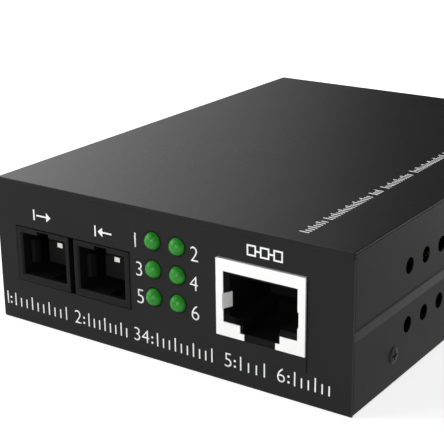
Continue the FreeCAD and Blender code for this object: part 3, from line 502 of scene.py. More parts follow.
def joined(name: str, pieces: list[bpy.types.Object]) -> bpy.types.Object:
    """Gather several objects' meshes in one object at the origin.

    Args:
        name: of the new object.
        pieces: objects, used up.

    Returns:
        The new object.
    """
    shape = bmesh.new()
    for piece in pieces:
        piece.data.transform(piece.matrix_world)
        shape.from_mesh(piece.data)
        bpy.data.objects.remove(piece)
    return from_bmesh(name, shape, turn_out=False)


# ---- Geometry Nodes -------------------------------------------------------------
class NodeTree(Graph):
    """Geometry Nodes tree with named inputs."""

    def __init__(self, name: str) -> None:
        """Start a tree with a geometry input and output.

        Args:
            name: of the tree.
        """
        super().__init__(bpy.data.node_groups.new(name, "GeometryNodeTree"))
        for way in ("INPUT", "OUTPUT"):
            self.tree.interface.new_socket("Geometry", in_out=way,
                                           socket_type="NodeSocketGeometry")
        self.input = self.tree.nodes.new("NodeGroupInput")
        self.output = self.tree.nodes.new("NodeGroupOutput")

    def size(self, name: str, kind: str = "NodeSocketFloat") -> bpy.types.NodeSocket:
        """Add a named input and give its socket."""
        self.tree.interface.new_socket(name, in_out="INPUT", socket_type=kind)
        return self.input.outputs[name]

    def vector(self, **parts: bpy.types.NodeSocket) -> bpy.types.NodeSocket:
        """Combine sockets into a vector."""
        return self.node("ShaderNodeCombineXYZ", links=parts).outputs[0]

    def finish(self, geometry: bpy.types.NodeSocket, material: bpy.types.NodeSocket) -> None:
        """End the tree with real geometry and its material.

        Args:
            geometry: what the tree has made.
            material: its finish.
        """
        real = self.node("GeometryNodeRealizeInstances", links={"Geometry": geometry})
        painted = self.node("GeometryNodeSetMaterial",
                            links={"Geometry": real.outputs[0], "Material": material})
        self.tree.links.new(painted.outputs[0], self.output.inputs["Geometry"])

    def apply(self, target: bpy.types.Object, **values: object) -> bpy.types.Object:
        """Run the tree on an object with its inputs set, and keep the plain mesh.

        Args:
            target: object that takes the tree.
            values: inputs by name, with underscores for spaces.

        Returns:
            The object with its final mesh.
        """
        step = target.modifiers.new(self.tree.name, "NODES")
        step.node_group = self.tree
        for item in self.tree.interface.items_tree:
            key = item.name.replace(" ", "_").lower()
            if item.in_out == "INPUT" and key in values:
                step[item.identifier] = values[key]
        target.update_tag()
        return settle(target)


def vent_tree() -> NodeTree:
    """Tree that pierces two rows of round vents through both side walls.

    Each vent is wider behind a thin skin, so that its rim is thin.

    Returns:
        The tree, with the vents' sizes as inputs.
    """
    made = NodeTree("side_vents")
    diameter, pitch = made.size("Diameter"), made.size("Pitch")
    count, sides = made.size("Count", "NodeSocketInt"), made.size("Sides", "NodeSocketInt")
    middle, offset = made.size("Middle Height"), made.size("Row Offset")
    reach, relief = made.size("Reach"), made.size("Relief Diameter")
    inside, material = made.size("Relief Reach"), made.size("Finish", "NodeSocketMaterial")
    run = made.math("MULTIPLY", made.math("SUBTRACT", count, 1), pitch)
    first = made.math("MULTIPLY", run, -0.5)
    pierced = made.input.outputs["Geometry"]
    for width, length in ((diameter, reach), (relief, inside)):
        punch = made.node("GeometryNodeMeshCylinder",
                          links={"Vertices": sides, "Depth": length,
                                 "Radius": made.math("MULTIPLY", width, 0.5)})
        punches = made.node("GeometryNodeJoinGeometry")
        for side in (-1, 1):
            height = made.math("ADD", middle, made.math("MULTIPLY", offset, side))
            line = made.node("GeometryNodeMeshLine",
                             links={"Count": count,
                                    "Start Location": made.vector(Y=first, Z=height),
                                    "Offset": made.vector(Y=pitch)})
            row = made.node("GeometryNodeInstanceOnPoints",
                            links={"Points": line.outputs[0], "Instance": punch.outputs["Mesh"]},
                            values={"Rotation": Facing.RIGHT.value})
            made.tree.links.new(row.outputs[0], punches.inputs[0])
        real = made.node("GeometryNodeRealizeInstances", links={"Geometry": punches.outputs[0]})
        cut = made.node("GeometryNodeMeshBoolean", operation="DIFFERENCE", solver="EXACT")
        made.tree.links.new(pierced, cut.inputs[0])
        made.tree.links.new(real.outputs[0], cut.inputs[1])
        pierced = cut.outputs["Mesh"]
    made.finish(pierced, material)
    return made


def set_out_tree() -> NodeTree:
    """Tree that sets a copy of a piece on every point, turned as the point says.

    Returns:
        The tree, with the piece, its scale and its finish as inputs.
    """
    made = NodeTree("set_out")
    piece = made.size("Piece", "NodeSocketObject")
    scale, material = made.size("Scale"), made.size("Finish", "NodeSocketMaterial")
    source = made.node("GeometryNodeObjectInfo", links={"Object": piece})
    turn = made.node("GeometryNodeInputNamedAttribute", values={"Name": "turn"},
                     data_type="FLOAT_VECTOR")
    copies = made.node("GeometryNodeInstanceOnPoints",
                       links={"Points": made.input.outputs["Geometry"],
                              "Instance": source.outputs["Geometry"],
                              "Rotation": turn.outputs["Attribute"],
                              "Scale": made.vector(X=scale, Y=scale, Z=scale)})
    made.finish(copies.outputs[0], material)
    return made


def set_out(name: str, shape: bpy.types.Object, places: list[tuple[Vector, Facing]],
            material: bpy.types.Material) -> bpy.types.Object:
    """Copy a piece to several places with the set-out tree.

    Args:
        name: of the new object.
        shape: piece made about Z, used up.
        places: point and facing of each copy.
        material: finish of the copies.

    Returns:
        One object with all the copies.
    """
    mesh = bpy.data.meshes.new(name)
    mesh.from_pydata([point for point, _ in places], [], [])
    turns = mesh.attributes.new("turn", "FLOAT_VECTOR", "POINT")
    for item, (_, facing) in zip(turns.data, places):
        item.vector = facing.value
    piece = set_out_tree().apply(new_piece(name, mesh), piece=shape, scale=1.0, finish=material)
    bpy.data.objects.remove(shape)
    return piece


# ---- The object -------------------------------------------------------------------
@dataclass
class Assembly:
    """Sub-assembly: makes its pieces, and hangs each on the frame."""

    shelf: FinishShelf
    # Black strips and rings painted as gap shadows stand this far proud of the panel and reach this
    # deep into it.
    painted_shade_proud: float = 0.02 * MM
    painted_shade_depth: float = 0.1 * MM
    past: float = 1 * MM

    def place(self, piece: bpy.types.Object, finish: Finish, *nodes: str) -> bpy.types.Object:
        """Give a finished piece its material and its body, and hide the CAD nodes it stands for.

        Args:
            piece: finished object.
            finish: its finish.
            nodes: CAD nodes that it replaces.

        Returns:
            The same object.
        """
        piece.data.materials.clear()
        piece.data.materials.append(self.shelf.material(finish))
        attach(piece, BODY)
        if nodes:
            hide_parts(*nodes)
        LOG.info("%s: %d faces", piece.name, len(piece.data.polygons))
        return piece

    def clearance(self, node: str, width: float) -> bpy.types.Object:
        """Black strip painted as the shadow in the clearance of the panel's cut-out, on the right of
        a port.

        Args:
            node: CAD node of the port.
            width: of the clearance.

        Returns:
            The placed strip.
        """
        lo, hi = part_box(node)
        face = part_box("base_tray")[0].y
        strip = block((hi.x, face - self.painted_shade_proud, lo.z),
                      (hi.x + width, face + self.painted_shade_depth, hi.z))
        strip.name = node + "_clearance"
        return self.place(strip, BLACK_AND_PAINTED_SHADE)

    def refined(self, node: str, edge: float = 0.0,
                degrees: float = SMOOTH_ANGLE) -> bpy.types.Object:
        """Copy of a CAD node with whole faces, softened edges and smooth rounds.

        Args:
            node: CAD node to copy.
            edge: width of the softened edges; 0 leaves them sharp.
            degrees: angle past which an edge stays an edge.

        Returns:
            The copy as a new object.
        """
        shape = bmesh.new()
        shape.from_mesh(frame["nodes"][node].data)
        bmesh.ops.remove_doubles(shape, verts=shape.verts, dist=NEAR)
        bmesh.ops.dissolve_limit(shape, angle_limit=math.radians(FLAT_ANGLE), verts=shape.verts,
                                 edges=shape.edges)
        piece = from_bmesh(node + "_refined", shape, turn_out=False)
        if edge:
            soften = piece.modifiers.new("soft_edges", "BEVEL")
            soften.width = edge
            soften.segments = 2
            soften.limit_method = "ANGLE"
            soften.angle_limit = math.radians(degrees)
            settle(piece)
        return smooth_by_angle(piece, degrees)


@dataclass
class TopCover(Assembly):
    """Top, side walls and short lips, pressed from one sheet, with beads and vents."""

    sheet: float = 0.6 * MM
    fold: float = 0.1 * MM
    fold_outer: float = 0.4 * MM
    seam: float = 0.1 * MM
    lip_gap: float = 0.02 * MM
    print_depth: float = 0.015 * MM
    bead_middle: float = 13.0 * MM
    bead_depth: float = 0.8 * MM
    bead_flat: float = 0.5 * MM
    vent_diameter: float = 2.7 * MM
    vent_relief: float = 5.2 * MM
    vent_skin: float = 0.1 * MM
    vent_pitch: float = 5.8 * MM
    vent_count: int = 11
    vent_sides: int = 40
    vent_middle: float = 13.45 * MM
    vent_offset: float = 4.95 * MM
    screw_hole: float = 2.3 * MM
    bend_flats: int = 10
    across: float = 50 * MM

    def shell(self, half_x: float, half_y: float, low: float, top: float, radius: float,
              corners: bool) -> bpy.types.Object:
        """Block with round top edges.

        Args:
            half_x: half of its width.
            half_y: half of its depth.
            low: its underside.
            top: its top.
            radius: of the round edges.
            corners: whether its upright edges are round too.

        Returns:
            The block.
        """

        def wanted(a: Vector, b: Vector) -> bool:
            """Whether the edge between two corners is round."""
            at_top = abs(a.z - top) < NEAR and abs(b.z - top) < NEAR
            return at_top or (corners and abs(a.z - b.z) > NEAR)

        return block((-half_x, -half_y, low), (half_x, half_y, top), radius, self.bend_flats,
                     wanted)

    def bead(self, side: int, x_floor: float, half_flat: float, rise: float,
             end: float) -> bpy.types.Object:
        """Trapezoid along a side wall, from the floor of the bead outwards.

        Args:
            side: 1 on the right, -1 on the left.
            x_floor: from the middle of the case to the floor of the bead.
            half_flat: half of the floor's height.
            rise: from the floor outwards.
            end: half of its length.

        Returns:
            The trapezoid as a solid.
        """
        mid, wide = self.bead_middle, half_flat + rise
        outline = [Vector((side * (x_floor + rise), -end, mid - wide)),
                   Vector((side * (x_floor + rise), -end, mid + wide)),
                   Vector((side * x_floor, -end, mid + half_flat)),
                   Vector((side * x_floor, -end, mid - half_flat))]
        return swept(outline, Vector((0, 2 * end, 0)))

    def folded(self, end: float) -> bpy.types.Object:
        """Fold the sheet and trim both ends to short lips.

        Args:
            end: from the middle of the case to the end of the side walls.

        Returns:
            The cover, still without beads and holes.
        """
        lo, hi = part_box("top_cover")
        top = hi.z - self.print_depth
        cover = self.shell(CASE_HALF_WIDTH, hi.y, lo.z, top, self.fold_outer, True)
        hollow = self.shell(CASE_HALF_WIDTH - self.sheet, hi.y - self.sheet, lo.z - self.past,
                            top - self.sheet, self.fold, False)
        cover = join_solids(cover, hollow, Joined.CUT)
        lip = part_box("base_tray")[1].z + self.lip_gap
        for y0, y1 in ((-hi.y - self.past, -end), (end, hi.y + self.past)):
            trim = block((-self.across, y0, -self.past), (self.across, y1, lip))
            cover = join_solids(cover, trim, Joined.CUT)
        return cover

    def beaded(self, cover: bpy.types.Object, end: float) -> bpy.types.Object:
        """Press a bead into both side walls.

        Args:
            cover: the folded cover.
            end: from the middle of the case to the end of the side walls.

        Returns:
            The cover with its beads.
        """
        wall = CASE_HALF_WIDTH - self.sheet
        inner_flat = self.bead_flat / 2 + math.tan(HALF_BEND) * self.sheet
        for side in (-1, 1):
            rib = self.bead(side, wall - self.bead_depth, inner_flat,
                            self.bead_depth + self.sheet / 2, end)
            cover = join_solids(cover, rib, Joined.FUSE)
            groove = self.bead(side, CASE_HALF_WIDTH - self.bead_depth, self.bead_flat / 2,
                               self.bead_depth + self.past, end + self.past)
            cover = join_solids(cover, groove, Joined.CUT)
        return cover

    def drilled(self, cover: bpy.types.Object, half_y: float) -> bpy.types.Object:
        """Drill both side walls for the screws.

        Args:
            cover: the cover.
            half_y: half of its depth.

        Returns:
            The cover with its screw holes.
        """
        radius, reach = self.screw_hole / 2, self.across
        holes = []
        for y in (-half_y + SCREW_INSET, half_y - SCREW_INSET):
            drill = turned([(0, -reach), (radius, -reach), (radius, reach), (0, reach)])
            hole = from_bmesh("hole", drill)
            hole.matrix_world = (Matrix.Translation((0, y, SCREW_LEVEL))
                                 @ Matrix.Rotation(math.pi / 2, 4, "Y"))
            bpy.context.view_layer.update()
            holes.append(hole)
        return join_solids(cover, joined("holes", holes), Joined.CUT)

    def build(self) -> None:
        """Press the cover, pierce it and paint it."""
        half_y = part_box("top_cover")[1].y
        end = half_y - self.sheet - self.seam
        cover = self.drilled(self.beaded(self.folded(end), end), half_y)
        cover.name = "top_cover_pressed"
        vent_tree().apply(cover, diameter=self.vent_diameter, pitch=self.vent_pitch,
                          count=self.vent_count, sides=self.vent_sides,
                          middle_height=self.vent_middle, row_offset=self.vent_offset,
                          reach=4 * CASE_HALF_WIDTH, relief_diameter=self.vent_relief,
                          relief_reach=2 * (CASE_HALF_WIDTH - self.vent_skin),
                          finish=self.shelf.material(CASE_PAINT))
        self.place(smooth_by_angle(cover), CASE_PAINT, "top_cover")


@dataclass
class BaseTray(Assembly):
    """Floor with both panels, folded from one sheet."""

    def build(self) -> None:
        """Smooth the folds and paint the tray."""
        self.place(self.refined("base_tray"), CASE_PAINT, "base_tray")


@dataclass
class CaseScrews(Assembly):
    """Four low-headed screws with cross recesses."""

    head: float = 2.95 * MM
    height: float = 0.3 * MM
    shank: float = 2.0 * MM
    length: float = 3.0 * MM
    tip_inset: float = 0.2 * MM
    tip_length: float = 0.3 * MM
    recess: float = 1.7 * MM
    recess_depth: float = 0.5 * MM
    recess_taper: float = 0.3 * MM
    blade: float = 0.36 * MM
    dome_steps: int = 6
    dome_fullness: float = 0.75
    dome_rim: float = 0.15
    sides: int = 40

    def screw(self) -> bpy.types.Object:
        """Turn one screw along +Z, its seat at the origin, and cut its recess.

        Returns:
            The screw.
        """
        half = self.head / 2
        dome = []
        for step in range(self.dome_steps + 1):
            angle = math.pi / 2 * step / self.dome_steps
            radius = half * math.cos(angle) ** self.dome_fullness if step < self.dome_steps else 0.0
            rise = self.dome_rim + (1 - self.dome_rim) * math.sin(angle)
            dome.append((radius, self.height * rise))
        profile = [(0.0, -self.length), (self.shank / 2 - self.tip_inset, -self.length),
                   (self.shank / 2, -self.length + self.tip_length), (self.shank / 2, 0.0),
                   (half, 0.0)]
        screw = from_bmesh("screw", turned(profile + dome, self.sides))
        tip, top = self.recess / 2, self.height + self.past
        low = self.height - self.recess_depth
        outline = [Vector((-tip, 0, top)), Vector((-tip, 0, low + self.recess_taper)),
                   Vector((-tip / 2, 0, low)), Vector((tip / 2, 0, low)),
                   Vector((tip, 0, low + self.recess_taper)), Vector((tip, 0, top))]
        for turn in (0.0, math.pi / 2):
            slot = swept(outline, Vector((0, self.blade, 0)))
            slot.data.transform(Matrix.Rotation(turn, 4, "Z")
                                @ Matrix.Translation((0, -self.blade / 2, 0)))
            screw = join_solids(screw, slot, Joined.CUT)
        return screw

    def build(self) -> None:
        """Set the four screws in the side walls."""
        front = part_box("base_tray")[0].y
        places = []
        for y in (front + SCREW_INSET, -front - SCREW_INSET):
            places += [(Vector((CASE_HALF_WIDTH, y, SCREW_LEVEL)), Facing.RIGHT),
                       (Vector((-CASE_HALF_WIDTH, y, SCREW_LEVEL)), Facing.LEFT)]
        screws = set_out("case_screws", self.screw(), places, self.shelf.material(SCREW_BLACK))
        self.place(smooth_by_angle(screws, ROUND_ANGLE), SCREW_BLACK, "side_screws")


@dataclass
class StatusLamps(Assembly):
    """Six green lamps with rounded domes, and a black ring round each, painted as the shadow in its
    clearance.
    """

    diameter: float = 3.0 * MM
    flange: float = 3.7 * MM
    flange_thickness: float = 0.9 * MM
    dome_steps: int = 12
    sides: int = 40
    # outer diameter of the black ring painted round each lamp as the shadow in its clearance
    ring: float = 3.35 * MM
    count: int = 6

    def lamp(self, length: float) -> bpy.types.Object:
        """Turn one lamp along +Z, its tip at the origin.

        Args:
            length: from its tip to the back of its flange.

        Returns:
            The lamp.
        """
        radius = self.diameter / 2
        dome = []
        for step in range(self.dome_steps + 1):
            angle = math.pi / 2 * step / self.dome_steps
            dome.append((radius * math.cos(angle) if step < self.dome_steps else 0.0,
                         radius * math.sin(angle) - radius))
        profile = [(0.0, -length), (self.flange / 2, -length),
                   (self.flange / 2, -length + self.flange_thickness),
                   (radius, -length + self.flange_thickness)]
        return from_bmesh("lamp", turned(profile + dome, self.sides))

    def build(self) -> None:
        """Set a lamp over each of the six nodes, and a black ring painted round it as the shadow in
        its clearance.
        """
        names = [f"lamp_{index}" for index in range(1, self.count + 1)]
        places = [(front_centre(name), Facing.FRONT) for name in names]
        lo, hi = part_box(names[0])
        lamps = set_out("status_lamps", self.lamp(hi.y - lo.y), places,
                        self.shelf.material(LAMP_GREEN))
        self.place(smooth_by_angle(lamps), LAMP_GREEN, *names)
        # black ring painted on the panel round each lamp as the shadow in its clearance
        inner, outer, low = self.diameter / 2, self.ring / 2, -self.painted_shade_depth
        ring = from_bmesh("ring", turned([(inner, low), (outer, low), (outer, 0), (inner, 0)],
                                         self.sides))
        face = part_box("base_tray")[0].y - self.painted_shade_proud
        rims = [(Vector((at.x, face, at.z)), way) for at, way in places]
        painted_shade_rings = set_out("lamp_clearances", ring, rims, self.shelf.material(BLACK_AND_PAINTED_SHADE))
        self.place(painted_shade_rings, BLACK_AND_PAINTED_SHADE)


@dataclass
class ModularJack(Assembly):
    """Shielded jack: can and moulding; its contacts stay the CAD's."""

    edge: float = 0.05 * MM
    # width of the black strip painted as the shadow in the clearance
    painted_shade_width: float = 0.25 * MM

    def build(self) -> None:
        """Soften the can's edges, smooth the moulding and paint the clearance's shadow as a black
        strip.
        """
        self.place(self.refined("jack_shield", self.edge), JACK_PLATE, "jack_shield")
        self.place(self.refined("jack_insulator"), BLACK_AND_PAINTED_SHADE, "jack_insulator")
        self.clearance("jack_shield", self.painted_shade_width)


@dataclass
class FibreTransceiver(Assembly):
    """Duplex fibre ports with their sleeves and latches."""

    housing_edge: float = 0.08 * MM
    latch_edge: float = 0.06 * MM
    # width of the black strip painted as the shadow in the clearance
    painted_shade_width: float = 0.2 * MM
    bore: float = 2.5 * MM
    rim_steps: int = 8
    sides: int = 56
    # Black cap painted over each sleeve's end as its shade, with a window where the pale key shows.
    guide_size: float = 4.0 * MM
    guide_thickness: float = 0.25 * MM
    guide_notch: tuple[Point, Point] = ((-0.15 * MM, 0.9 * MM), (1.1 * MM, 1.8 * MM))

    def sleeve(self, node: str) -> bpy.types.Object:
        """Turn a smooth sleeve in place of one CAD sleeve.

        Args:
            node: CAD node of the sleeve.

        Returns:
            The sleeve.
        """
        lo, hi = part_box(node)
        outer, inner, end = (hi.z - lo.z) / 2, self.bore / 2, hi.y - lo.y
        middle, radius = (outer + inner) / 2, (outer - inner) / 2
        angles = [math.pi * step / self.rim_steps for step in range(self.rim_steps + 1)]
        rim = [(middle + radius * math.cos(a), radius * math.sin(a) - radius) for a in angles]
        profile = rim + [(inner, -end), (outer, -end)]
        piece = from_bmesh(node + "_ground", turned(profile, self.sides))
        piece.data.transform(Matrix.Translation(front_centre(node))
                             @ Matrix.Rotation(math.pi / 2, 4, "X"))
        return smooth_by_angle(piece)

    def guide(self, node: str) -> bpy.types.Object:
        """Cap a sleeve's end in black as painted shade, with a window at its upper right.

        Args:
            node: CAD node of the sleeve.

        Returns:
            The cap.
        """
        at, half = front_centre(node), self.guide_size / 2
        front, back = at.y - self.guide_thickness, at.y + self.guide_thickness
        cap = block((at.x - half, front, at.z - half), (at.x + half, back, at.z + half))
        (left, low), (right, high) = self.guide_notch
        window = block((at.x + left, front - self.past, at.z + low),
                       (at.x + right, back + self.past, at.z + high))
        cap = join_solids(cap, window, Joined.CUT)
        cap.name = node + "_guide"
        return smooth_by_angle(cap)

    def key(self, node: str) -> bpy.types.Object:
        """Make a sleeve's pale key, which shows through the window of the black cap painted as the
        sleeve's shade.

        Args:
            node: CAD node of the sleeve.

        Returns:
            The key.
        """
        at = front_centre(node)
        (left, low), (right, high) = self.guide_notch
        key = block((at.x + left, at.y - self.guide_thickness / 2, at.z + low),
                    (at.x + right, at.y + self.guide_thickness, at.z + high))
        key.name = node + "_key"
        return key

    def build(self) -> None:
        """Place the housing and the black strip painted as its clearance's shadow, then each port's
        latch, sleeve, key and the black cap painted as the sleeve's shade.
        """
        self.place(self.refined("transceiver_housing", self.housing_edge), MOULDING,
                   "transceiver_housing")
        # black strip painted as the shadow in the housing's clearance
        self.clearance("transceiver_housing", self.painted_shade_width)
        for side in ("transmit", "receive"):
            self.place(self.refined(side + "_latch", self.latch_edge), BLACK_AND_PAINTED_SHADE, side + "_latch")
            self.place(self.sleeve(side + "_sleeve"), CERAMIC, side + "_sleeve")
            self.place(self.key(side + "_sleeve"), CERAMIC)
            self.place(self.guide(side + "_sleeve"), BLACK_AND_PAINTED_SHADE)


@dataclass
class PowerInlet(Assembly):
    """Low-voltage inlet at the rear."""

    edge: float = 0.08 * MM

    def build(self) -> None:
        """Soften the body's edges and smooth the pin."""
        self.place(self.refined("power_inlet_body", self.edge), MOULDING, "power_inlet_body")
        self.place(self.refined("power_inlet_pin", 0.0, ROUND_ANGLE), STEEL_PLATE,
                   "power_inlet_pin")


# ---- Print ----------------------------------------------------------------------------
@dataclass
class Stencil:
    """Thin sheet of ink in millimetres, drawn flat and then laid on a face."""

    shape: bmesh.types.BMesh = field(default_factory=bmesh.new)
    slimming: float = -0.012
    tall_every: int = 3
    short_share: float = 0.7
    head_share: float = 0.6

    def patch(self, outline: Iterable[Point]) -> None:
        """Fill a closed outline."""
        self.shape.faces.new([self.shape.verts.new((x, y, 0)) for x, y in outline])

    def bar(self, left: float, low: float, right: float, high: float) -> None:
        """Fill an upright rectangle."""
        self.patch([(left, low), (right, low), (right, high), (left, high)])

    def frame(self, left: float, low: float, right: float, high: float, stroke: float) -> None:
        """Draw the border of a rectangle inside its edges.

        Args:
            left: left edge.
            low: lower edge.
            right: right edge.
            high: upper edge.
            stroke: width of the border.
        """
        self.bar(left, low, right, low + stroke)
        self.bar(left, high - stroke, right, high)
        self.bar(left, low + stroke, left + stroke, high - stroke)
        self.bar(right - stroke, low + stroke, right, high - stroke)

    def numeral(self, text: str, left: float, low: float, height: float) -> float:
        """Draw a numeral.

        Args:
            text: digits.
            left: left edge.
            low: foot of the digits.
            height: of the digits.

        Returns:
            Right edge of the digits.
        """
        curve = bpy.data.curves.new("numeral", "FONT")
        curve.body = text
        curve.offset = self.slimming
        holder = new_piece("numeral", curve)
        bpy.context.view_layer.update()
        mesh = bpy.data.meshes.new_from_object(
            holder.evaluated_get(bpy.context.evaluated_depsgraph_get()))
        xs, ys = ([vert.co[axis] for vert in mesh.vertices] for axis in (0, 1))
        scale = height / (max(ys) - min(ys))
        mesh.transform(Matrix.Translation((left, low, 0)) @ Matrix.Scale(scale, 4)
                       @ Matrix.Translation((-min(xs), -min(ys), 0)))
        self.shape.from_mesh(mesh)
        bpy.data.objects.remove(holder)
        return left + scale * (max(xs) - min(xs))

    def ticks(self, left: float, low: float, right: float, height: float, pitch: float,
              stroke: float) -> None:
        """Draw a row of strokes, some full height and the rest shorter.

        Args:
            left: left edge of the row.
            low: foot of the row.
            right: right edge of the row.
            height: of the tall strokes.
            pitch: rough distance between strokes.
            stroke: width of a stroke.
        """
        count = round((right - left - stroke) / pitch)
        for index in range(count + 1):
            x = left + index * (right - left - stroke) / max(count, 1)
            share = 1.0 if index % self.tall_every == 0 else self.short_share
            self.bar(x, low, x + stroke, low + height * share)

    def arrow(self, tail: float, tip: float, middle: float, height: float, stroke: float) -> None:
        """Draw a level arrow.

        Args:
            tail: end of its shaft.
            tip: point of its head.
            middle: height of its shaft.
            height: of its head.
            stroke: width of its shaft.
        """
        ahead = 1 if tip > tail else -1
        neck = tip - ahead * height * self.head_share
        self.bar(min(tail, neck), middle - stroke / 2, max(tail, neck), middle + stroke / 2)
        ends = (middle - height / 2, middle + height / 2)
        low, high = ends if ahead > 0 else ends[::-1]
        self.patch([(neck, low), (tip, middle), (neck, high)])

    def sheet(self, name: str, thickness: float, lay: Matrix) -> bpy.types.Object:
        """Give the ink its thickness and lay it on a face.

        Args:
            name: of the object.
            thickness: of the ink.
            lay: from the flat drawing to the face.

        Returns:
            The ink as an object.
        """
        shape = self.shape
        pushed = bmesh.ops.extrude_face_region(shape, geom=shape.faces[:])["geom"]
        moved = [item for item in pushed if isinstance(item, bmesh.types.BMVert)]
        bmesh.ops.translate(shape, verts=moved, vec=(0, 0, thickness))
        bmesh.ops.scale(shape, verts=shape.verts, vec=(MM, MM, MM))
        bmesh.ops.transform(shape, matrix=lay, verts=shape.verts)
        return from_bmesh(name, shape)


@dataclass
class FrontPrint(Assembly):
    """White lamp numbers, port symbols and legend on the front panel, in millimetres."""

    numerals: tuple[tuple[str, float, float], ...] = (
        ("1", -4.75, 19.1), ("3", -4.65, 14.25), ("5", -4.6, 9.5),
        ("2", 6.25, 19.0), ("4", 6.0, 14.15), ("6", 6.3, 9.15))
    numeral_height: float = 2.45
    legend: tuple[tuple[str, float, float], ...] = (
        ("1", -34.1, -20.2), ("2", -18.4, -7.0), ("34", -5.5, 10.2), ("5", 12.5, 20.0),
        ("6", 22.2, 31.4))
    legend_foot: float = 2.65
    legend_height: float = 2.35
    dot: float = 0.35
    dot_gap: float = 0.45
    dot_lift: float = 0.2
    dot_drop: float = 1.2
    tick_gap: float = 1.6
    tick_pitch: float = 1.25
    tick_stroke: float = 0.24
    stroke: float = 0.27
    port_bars: tuple[tuple[float, float, float, float], ...] = (
        (-26.6, 19.6, -26.3, 21.5), (-13.1, 19.3, -12.8, 21.2))
    port_arrows: tuple[tuple[float, float, float], ...] = (
        (-25.9, -22.7, 20.55), (-9.5, -12.4, 20.25))
    arrow_height: float = 1.6
    squares: tuple[float, ...] = (16.75, 19.1, 21.45)
    square_width: float = 1.65
    square_foot: float = 22.1
    square_top: float = 23.9
    thickness: float = 0.05
    sunk: float = 0.02

    def symbols(self, ink: Stencil) -> None:
        """Draw an arrow out and an arrow in over the fibre ports, linked squares over the jack.

        Args:
            ink: sheet to draw on.
        """
        for bar, (tail, tip, middle) in zip(self.port_bars, self.port_arrows):
            ink.bar(*bar)
            ink.arrow(tail, tip, middle, self.arrow_height, self.stroke)
        for left in self.squares:
            ink.frame(left, self.square_foot, left + self.square_width, self.square_top,
                      self.stroke)
        middle = (self.square_foot + self.square_top) / 2
        for left, after in zip(self.squares, self.squares[1:]):
            ink.bar(left + self.square_width, middle - self.stroke / 2, after,
                    middle + self.stroke / 2)

    def build(self) -> None:
        """Print the panel."""
        ink = Stencil()
        for text, left, low in self.numerals:
            ink.numeral(text, left, low, self.numeral_height)
        self.symbols(ink)
        foot, top = self.legend_foot, self.legend_foot + self.legend_height
        for text, left, right in self.legend:
            end = ink.numeral(text, left, foot, self.legend_height)
            dots = end + self.dot_gap
            for low in (foot + self.dot_lift, top - self.dot_drop):
                ink.bar(dots, low, dots + self.dot, low + self.dot)
            ink.ticks(end + self.tick_gap, foot, right, self.legend_height, self.tick_pitch,
                      self.tick_stroke)
        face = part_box("base_tray")[0].y + self.sunk * MM
        lay = Matrix(((1, 0, 0, 0), (0, 0, -1, face), (0, 1, 0, 0), (0, 0, 0, 1)))
        self.place(ink.sheet("front_print", self.thickness, lay), INK)


@dataclass
class CoverPrint(Assembly):
    """White row of strokes along the cover, in millimetres from the middle of the cover."""

    words: tuple[Point, ...] = ((-43.0, -37.1), (-35.9, -22.6), (-21.2, -18.9), (-17.1, -8.1),
                                (-6.4, 5.6), (7.0, 15.5))
    foot: float = 25.1
    height: float = 1.7
    pitch: float = 0.78
    stroke: float = 0.28
    thickness: float = 0.02

    def build(self) -> None:
        """Print the cover, the ink flush with the top of the case."""
        ink = Stencil()
        for start, end in self.words:
            ink.ticks(start, 0.0, end, self.height, self.pitch, self.stroke)
        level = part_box("top_cover")[1].z - self.thickness * MM
        lay = Matrix(((0, -1, 0, self.foot * MM), (1, 0, 0, 0), (0, 0, 1, level), (0, 0, 0, 1)))
        self.place(ink.sheet("cover_print", self.thickness, lay), INK)


# ---- Studio -------------------------------------------------------------------------
@dataclass(frozen=True)
class SoftLamp:
    """Square lamp: place and size in metres, power in watts."""

    name: str
    place: tuple[float, float, float]
    size: float
    power: float

    def hang(self, target: Vector) -> None:
        """Hang the lamp facing a point.

        Args:
            target: the point.
        """
        data = bpy.data.lights.new(self.name, "AREA")
        data.size = self.size
        data.energy = self.power
        lamp = bpy.data.objects.new(self.name, data)
        lamp.location = Vector(self.place)
        aim = target - lamp.location
        lamp.rotation_euler = aim.to_track_quat("-Z", "Y").to_euler()
        bpy.context.scene.collection.objects.link(lamp)


